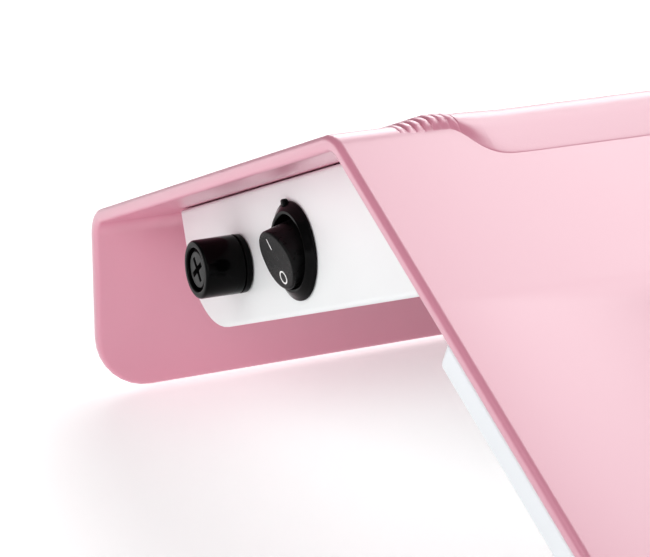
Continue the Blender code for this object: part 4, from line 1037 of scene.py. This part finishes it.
class MakeHousing(Operator):
    """Make the fan housing with its exhaust slots, its floor and the rubber feet"""
    bl_idname = "collector.make_housing"
    bl_label = "Fan housing"

    def execute(self, context):
        settings = context.scene.collector_housing
        base_low, base_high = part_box("housing_base")
        half = base_high.x
        wall = 0.0022
        front, rear = base_low.y, base_high.y
        foot = base_high.z + GAP
        flange_top = TRAY_BOTTOM + GAP
        slope = FRONT @ Vector((0, -TRAY_START - 0.0004, -flange_top - 0.001))
        front_top = slope.z - (slope.y - front) * math.tan(FRONT_SLOPE)
        step = CREST_Y + 0.010
        rear_top = 0.048
        side = across_profile()
        rear_half, notch = 0.066, slope.y - 0.004
        outer = rounded_loop([(front, foot), (front, front_top), (slope.y, slope.z), (step, rear_top),
                              (rear, rear_top), (rear, foot)], [0, 0, 0.002, 0.002, 0.006, 0])
        out = math.cos(FRONT_SLOPE) * 0.015
        inner = [(front + wall, foot - 0.01), (front + wall, front_top + out),
                 (slope.y - wall, slope.z + out),
                 (slope.y - wall, slope.z - wall * 1.2), (step - wall * 0.2, rear_top - wall),
                 (rear - wall, rear_top - wall), (rear - wall, foot - 0.01)]
        flange_half = half + 0.0115
        flange = rectangle(-flange_half, flange_half, -LID_START - LID_LENGTH + 0.004, -TRAY_START - 0.008,
                           0.004)
        screws = node_middles("base_screw", 4, LEVEL)
        posts = [(spot.x, spot.y, foot, foot + (FRONT_POST if spot.y < 0 else REAR_POST)) for spot in screws]
        narrow = shaped(plate([inner], -half + wall, half - wall, side),
                        [(CUT, side_blocks(rear_half - wall, notch - wall))])
        steps = [
            (CUT, side_blocks(rear_half, notch)),
            (ADD, plate([flange], -flange_top - 0.002, -flange_top, FRONT, 0.0005)),
            (CUT, narrow),
            (ADD, rods(POST_RADIUS, posts, LEVEL, 24)),
            (CUT, rods(PILOT_RADIUS, [(x, y, 0, top - 0.002) for x, y, _, top in posts], LEVEL, 16)),
        ]
        upright = Matrix.Translation((0, rear, 0)) @ Matrix.Rotation(math.pi / 2, 4, "X")
        for i in range(VENT_COUNT):
            x = (i - (VENT_COUNT - 1) / 2) * VENT_PITCH
            slot = rectangle(x - VENT_WIDTH / 2, x + VENT_WIDTH / 2, VENT_LOW, VENT_HIGH, 0.0018, 5)
            steps.append((CUT, plate([slot], -0.006, 0.006, upright)))
        spots = [(spot.x, spot.y, -flange_top - 0.01, 0) for spot in node_middles("tray_screw", 4, FRONT)]
        steps.append((CUT, rods(PILOT_RADIUS, spots, FRONT, 16)))
        mesh = shaped(plate([outer], -half, half, side, settings.edge), steps)

        def on_vent(place):
            in_height = VENT_LOW - 5e-4 < place.z < VENT_HIGH + 5e-4
            return abs(place.y - rear) < 2e-4 and in_height and abs(place.x) < rear_half - 0.006

        def on_upright_edge(place):
            return abs(abs(place.x) - rear_half) < 2e-4 and place.y > notch and foot + 0.002 < place.z

        round_edges(mesh, 0.0004, on_vent)
        round_edges(mesh, 0.0012, on_upright_edge)
        add_piece("housing", mesh, finish("white_plastic"), "main_body", "white_plastic", "fan_housing")
        screws += node_middles("motor_screw", 3, LEVEL)
        bores = [circle(spot.x, spot.y, PILOT_RADIUS, 20) for spot in screws]
        corners = [(-half, front), (half, front), (half, notch), (rear_half, notch), (rear_half, rear),
                   (-rear_half, rear), (-rear_half, notch), (-half, notch)]
        outline = rounded_loop(corners, [0.004, 0.004, 0, 0, 0.004, 0.004, 0, 0])
        floor = plate([outline] + bores, base_low.z, base_high.z, LEVEL, 0.0004)
        add_piece("housing_floor", floor, finish("white_plastic"), "main_body", "white_plastic",
                  "housing_base")
        for name in [f"foot_{end}_{side}" for end in ("front", "rear") for side in ("left", "right")]:
            a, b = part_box(name)
            place = Matrix.Translation(((a.x + b.x) / 2, (a.y + b.y) / 2, 0))
            radius, top = (b.x - a.x) / 2, b.z
            corners = [(0, top), (radius, top), (radius, 0), (0.0048, 0), (0.0042, 0.0005), (0.0030, 0.0005),
                       (0.0024, 0), (0, 0.0003)]
            mesh = turned(corners, [0, 0.0003, 0.0008, 0.0002, 0.0002, 0.0002, 0.0002, 0], place, 48)
            add_piece(name + "_pad", mesh, finish("foot_rubber"), "main_body", "black_rubber", name)
        return {"FINISHED"}


# Screws

def screw_mesh(reach):
    """A pan head with a cross recess; the head lies below the origin and the shank rises above it."""
    head, height, shank = 0.0028, HEAD_HEIGHT, 0.0013
    corners = [(0, reach), (shank * 0.4, reach), (shank, reach - 0.0015), (shank, 0), (head, 0),
               (head * 0.86, -height), (0, -height)]
    mesh = turned(corners, [0, 0, 0, 0, 0.0002, 0.0008, 0], LEVEL, 32)
    arms = [(CUT, block(size, [(0, 0, -height)], LEVEL))
            for size in ((0.0032, 0.0006, 0.0016), (0.0006, 0.0032, 0.0016))]
    return shaped(mesh, arms)


class MakeScrews(Operator):
    """Make the cross-head screws of the floor, motor, casing, tray and board"""
    bl_idname = "collector.make_screws"
    bl_label = "Screws"

    def execute(self, context):
        over = Matrix.Rotation(math.pi, 4, "X")
        groups = [("base_screw", 4, LEVEL, LEVEL), ("motor_screw", 3, LEVEL, LEVEL),
                  ("casing_screw", 4, REAR, LEVEL), ("tray_screw", 4, FRONT, LEVEL),
                  ("board_screw", 4, REAR, over)]
        for group, count, place, flip in groups:
            for i in range(1, count + 1):
                name = f"{group}_{i}"
                low, high = node_box(name, place @ flip)
                seat = low.z + HEAD_HEIGHT
                mesh = screw_mesh(high.z - seat)
                spot = Matrix.Translation(((low.x + high.x) / 2, (low.y + high.y) / 2, seat))
                turn = Matrix.Rotation(math.radians(37 * i), 4, "Z")
                mesh.transform(place @ flip @ spot @ turn)
                add_piece(name + "_cross", mesh, finish("screw_steel"), "main_body", "steel", name)
        return {"FINISHED"}


# Mains inlet

class MakeInlet(Operator):
    """Make the two-pin mains inlet in the right end wall"""
    bl_idname = "collector.make_inlet"
    bl_label = "Mains inlet"

    def execute(self, context):
        low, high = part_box("mains_inlet")
        middle = (low + high) / 2
        place = wall_frame((CASING_HALF_WIDTH, middle.y, middle.z), 1)
        flange = plate([rectangle(-0.0145, 0.0145, -0.0095, 0.0095, 0.004)], GAP, 0.0022, place, 0.0005)
        body = plate([rectangle(-0.0112, 0.0112, -0.0062, 0.0062, 0.003)], -0.018, 0.001, place, 0.0004)
        radius, apart = 0.0043, 0.0042
        mouth = []
        waist = math.radians(32)
        for side in (1, -1):
            for k in range(15):
                angle = -math.pi / 2 - waist + (math.pi + 2 * waist) * k / 14
                mouth.append((side * (apart + radius * math.cos(angle)), side * radius * math.sin(angle)))
        mesh = shaped(flange, [(ADD, body), (CUT, plate([mouth], -0.0155, 0.01, place))])
        add_piece("inlet_socket", mesh, finish("bezel_plastic"), "main_body", "black_plastic", "mains_inlet")
        return {"FINISHED"}


# Inside parts that keep their shape

class FinishInside(Operator):
    """Give the parts inside and the hinge pins their finishes"""
    bl_idname = "collector.finish_inside"
    bl_label = "Inside parts"

    def execute(self, context):
        finishes = {
            "dark_plastic": ["fan_baffle", "impeller", "board_transformer"],
            "turned_brass": ["impeller_nut"],
            "brushed_steel": ["motor_body"],
            "nickel_plate": ["motor_bearing", "board_capacitor", "switch_terminal_1", "switch_terminal_2",
                             "fuse_end_outer", "fuse_end_inner", "inlet_pin_left", "inlet_pin_right"],
            "screw_steel": ["motor_shaft", "rocker_pin", "hinge_pin_left", "hinge_pin_right"],
            "board_lacquer": ["circuit_board"],
            "fuse_glass": ["fuse_tube"],
            "filter_frame_grey": ["filter_frame"],
            "filter_paper": ["filter_pleats"],
        }
        finished = []
        for look, names in finishes.items():
            finished += names
            for name in names:
                part = frame["nodes"][name]
                if not part.material_slots:
                    part.data.materials.append(finish(look))
                for slot in part.material_slots:
                    slot.material = finish(look)
        left = [name for name, part in frame["nodes"].items()
                if not part.hide_render and name not in finished]
        if left:
            raise RuntimeError(f"these parts have no finish: {left}")
        return {"FINISHED"}


# Stage

CAMERA_PLACE = (-0.3564, -0.41742, 0.23328)
CAMERA_AZIMUTH, CAMERA_ELEVATION = math.radians(-26.02), math.radians(18.28)
CAMERA_LENS = 135.15


def softbox(name, place, target, size, power):
    """A square soft light at a place, aimed at a target."""
    data = bpy.data.lights.new(name, "AREA")
    data.size = size
    data.energy = power
    made = bpy.data.objects.new(name, data)
    made.location = place
    made.rotation_euler = (Vector(target) - Vector(place)).to_track_quat("-Z", "Y").to_euler()
    bpy.context.scene.collection.objects.link(made)


def grow_with_distance(look, socket, settings):
    """Let the floor's glow rise away from the object, so that its far part stays as pale as the near part."""
    nodes, links = look.node_tree.nodes, look.node_tree.links
    place = nodes.new("ShaderNodeNewGeometry")
    distance = nodes.new("ShaderNodeVectorMath")
    distance.operation = "LENGTH"
    rise = nodes.new("ShaderNodeMapRange")
    rise.inputs["From Min"].default_value = settings.glow_start
    rise.inputs["From Max"].default_value = settings.glow_end
    rise.inputs["To Min"].default_value = settings.floor_glow
    rise.inputs["To Max"].default_value = settings.far_glow
    links.new(place.outputs["Position"], distance.inputs[0])
    links.new(distance.outputs["Value"], rise.inputs["Value"])
    links.new(rise.outputs["Result"], socket)


class MakeStage(Operator):
    """Make the pale floor, the soft lights, the room light and the camera"""
    bl_idname = "collector.make_stage"
    bl_label = "Stage"

    def execute(self, context):
        settings = context.scene.collector_stage
        form = bmesh.new()
        bmesh.ops.create_circle(form, cap_ends=True, segments=64, radius=settings.floor)
        mesh = new_mesh(form, "floor", outward=False)
        look = finish("floor_paper", settings.floor_color)
        shader = look.node_tree.nodes["Principled BSDF"]
        shader.inputs["Emission Color"].default_value = (1, 1, 1, 1)
        grow_with_distance(look, shader.inputs["Emission Strength"], settings)
        mesh.materials.append(look)
        floor = bpy.data.objects.new("floor", mesh)
        context.scene.collection.objects.link(floor)
        room = bpy.data.worlds.new("room")
        room.use_nodes = True
        room.node_tree.nodes["Background"].inputs["Color"].default_value = (1, 1, 1, 1)
        room.node_tree.nodes["Background"].inputs["Strength"].default_value = settings.room
        context.scene.world = room
        softbox("top_softbox", (0.54, 0.23, 1.22), (0, -0.05, 0.06), 0.75, settings.top_light)
        softbox("left_softbox", (-1.15, -0.35, 0.75), (-0.1, 0, 0.06), 0.9, settings.side_light)
        softbox("rear_softbox", (0.7, 1.5, 1.0), (0, 0.05, 0.05), 1.1, settings.rear_light)
        softbox("front_softbox", (-0.75, -1.35, 0.55), (0, 0.05, 0.05), 0.9, settings.front_light)
        data = bpy.data.cameras.new("camera")
        data.lens = CAMERA_LENS
        data.sensor_width = 36
        camera = bpy.data.objects.new("camera", data)
        camera.location = CAMERA_PLACE
        camera.rotation_euler = (math.pi / 2 - CAMERA_ELEVATION, 0, CAMERA_AZIMUTH)
        context.scene.collection.objects.link(camera)
        context.scene.camera = camera
        context.scene.view_settings.view_transform = "Standard"
        context.scene.view_settings.look = "Medium High Contrast"
        return {"FINISHED"}


MAKERS = [MakeCover, MakePalmRest, MakeTray, MakeLid, MakeCasing, MakeSwitch, MakeFuse, MakeHousing,
          MakeScrews, MakeInlet, FinishInside, MakeStage]
SETTINGS = {
    "collector_cover": CoverSettings, "collector_palm_rest": PalmRestSettings, "collector_tray": TraySettings,
    "collector_lid": LidSettings, "collector_casing": CasingSettings, "collector_switch": SwitchSettings,
    "collector_fuse": FuseSettings, "collector_housing": HousingSettings, "collector_stage": StageSettings,
}


class CollectorPanel(Panel):
    """The dust collector's pieces and their sizes"""
    bl_idname = "VIEW3D_PT_dust_collector"
    bl_label = "Nail Dust Collector"
    bl_space_type = "VIEW_3D"
    bl_region_type = "UI"
    bl_category = "Dust Collector"

    def draw(self, context):
        layout = self.layout
        for maker in MAKERS:
            layout.operator(maker.bl_idname)
        for name in SETTINGS:
            box = layout.box()
            settings = getattr(context.scene, name)
            for key in settings.__annotations__:
                box.prop(settings, key)


def register():
    for settings in SETTINGS.values():
        bpy.utils.register_class(settings)
    for maker in MAKERS + [CollectorPanel]:
        bpy.utils.register_class(maker)
    for name, settings in SETTINGS.items():
        setattr(bpy.types.Scene, name, PointerProperty(type=settings))


def unregister():
    for name in SETTINGS:
        delattr(bpy.types.Scene, name)
    for made in reversed(list(SETTINGS.values()) + MAKERS + [CollectorPanel]):
        bpy.utils.unregister_class(made)


def main():
    register()
    bpy.ops.collector.make_cover()
    bpy.ops.collector.make_palm_rest()
    bpy.ops.collector.make_tray()
    bpy.ops.collector.make_lid()
    bpy.ops.collector.make_casing()
    bpy.ops.collector.make_switch()
    bpy.ops.collector.make_fuse()
    bpy.ops.collector.make_housing()
    bpy.ops.collector.make_screws()
    bpy.ops.collector.make_inlet()
    bpy.ops.collector.finish_inside()
    bpy.ops.collector.make_stage()


if __name__ == "__main__":
    main()
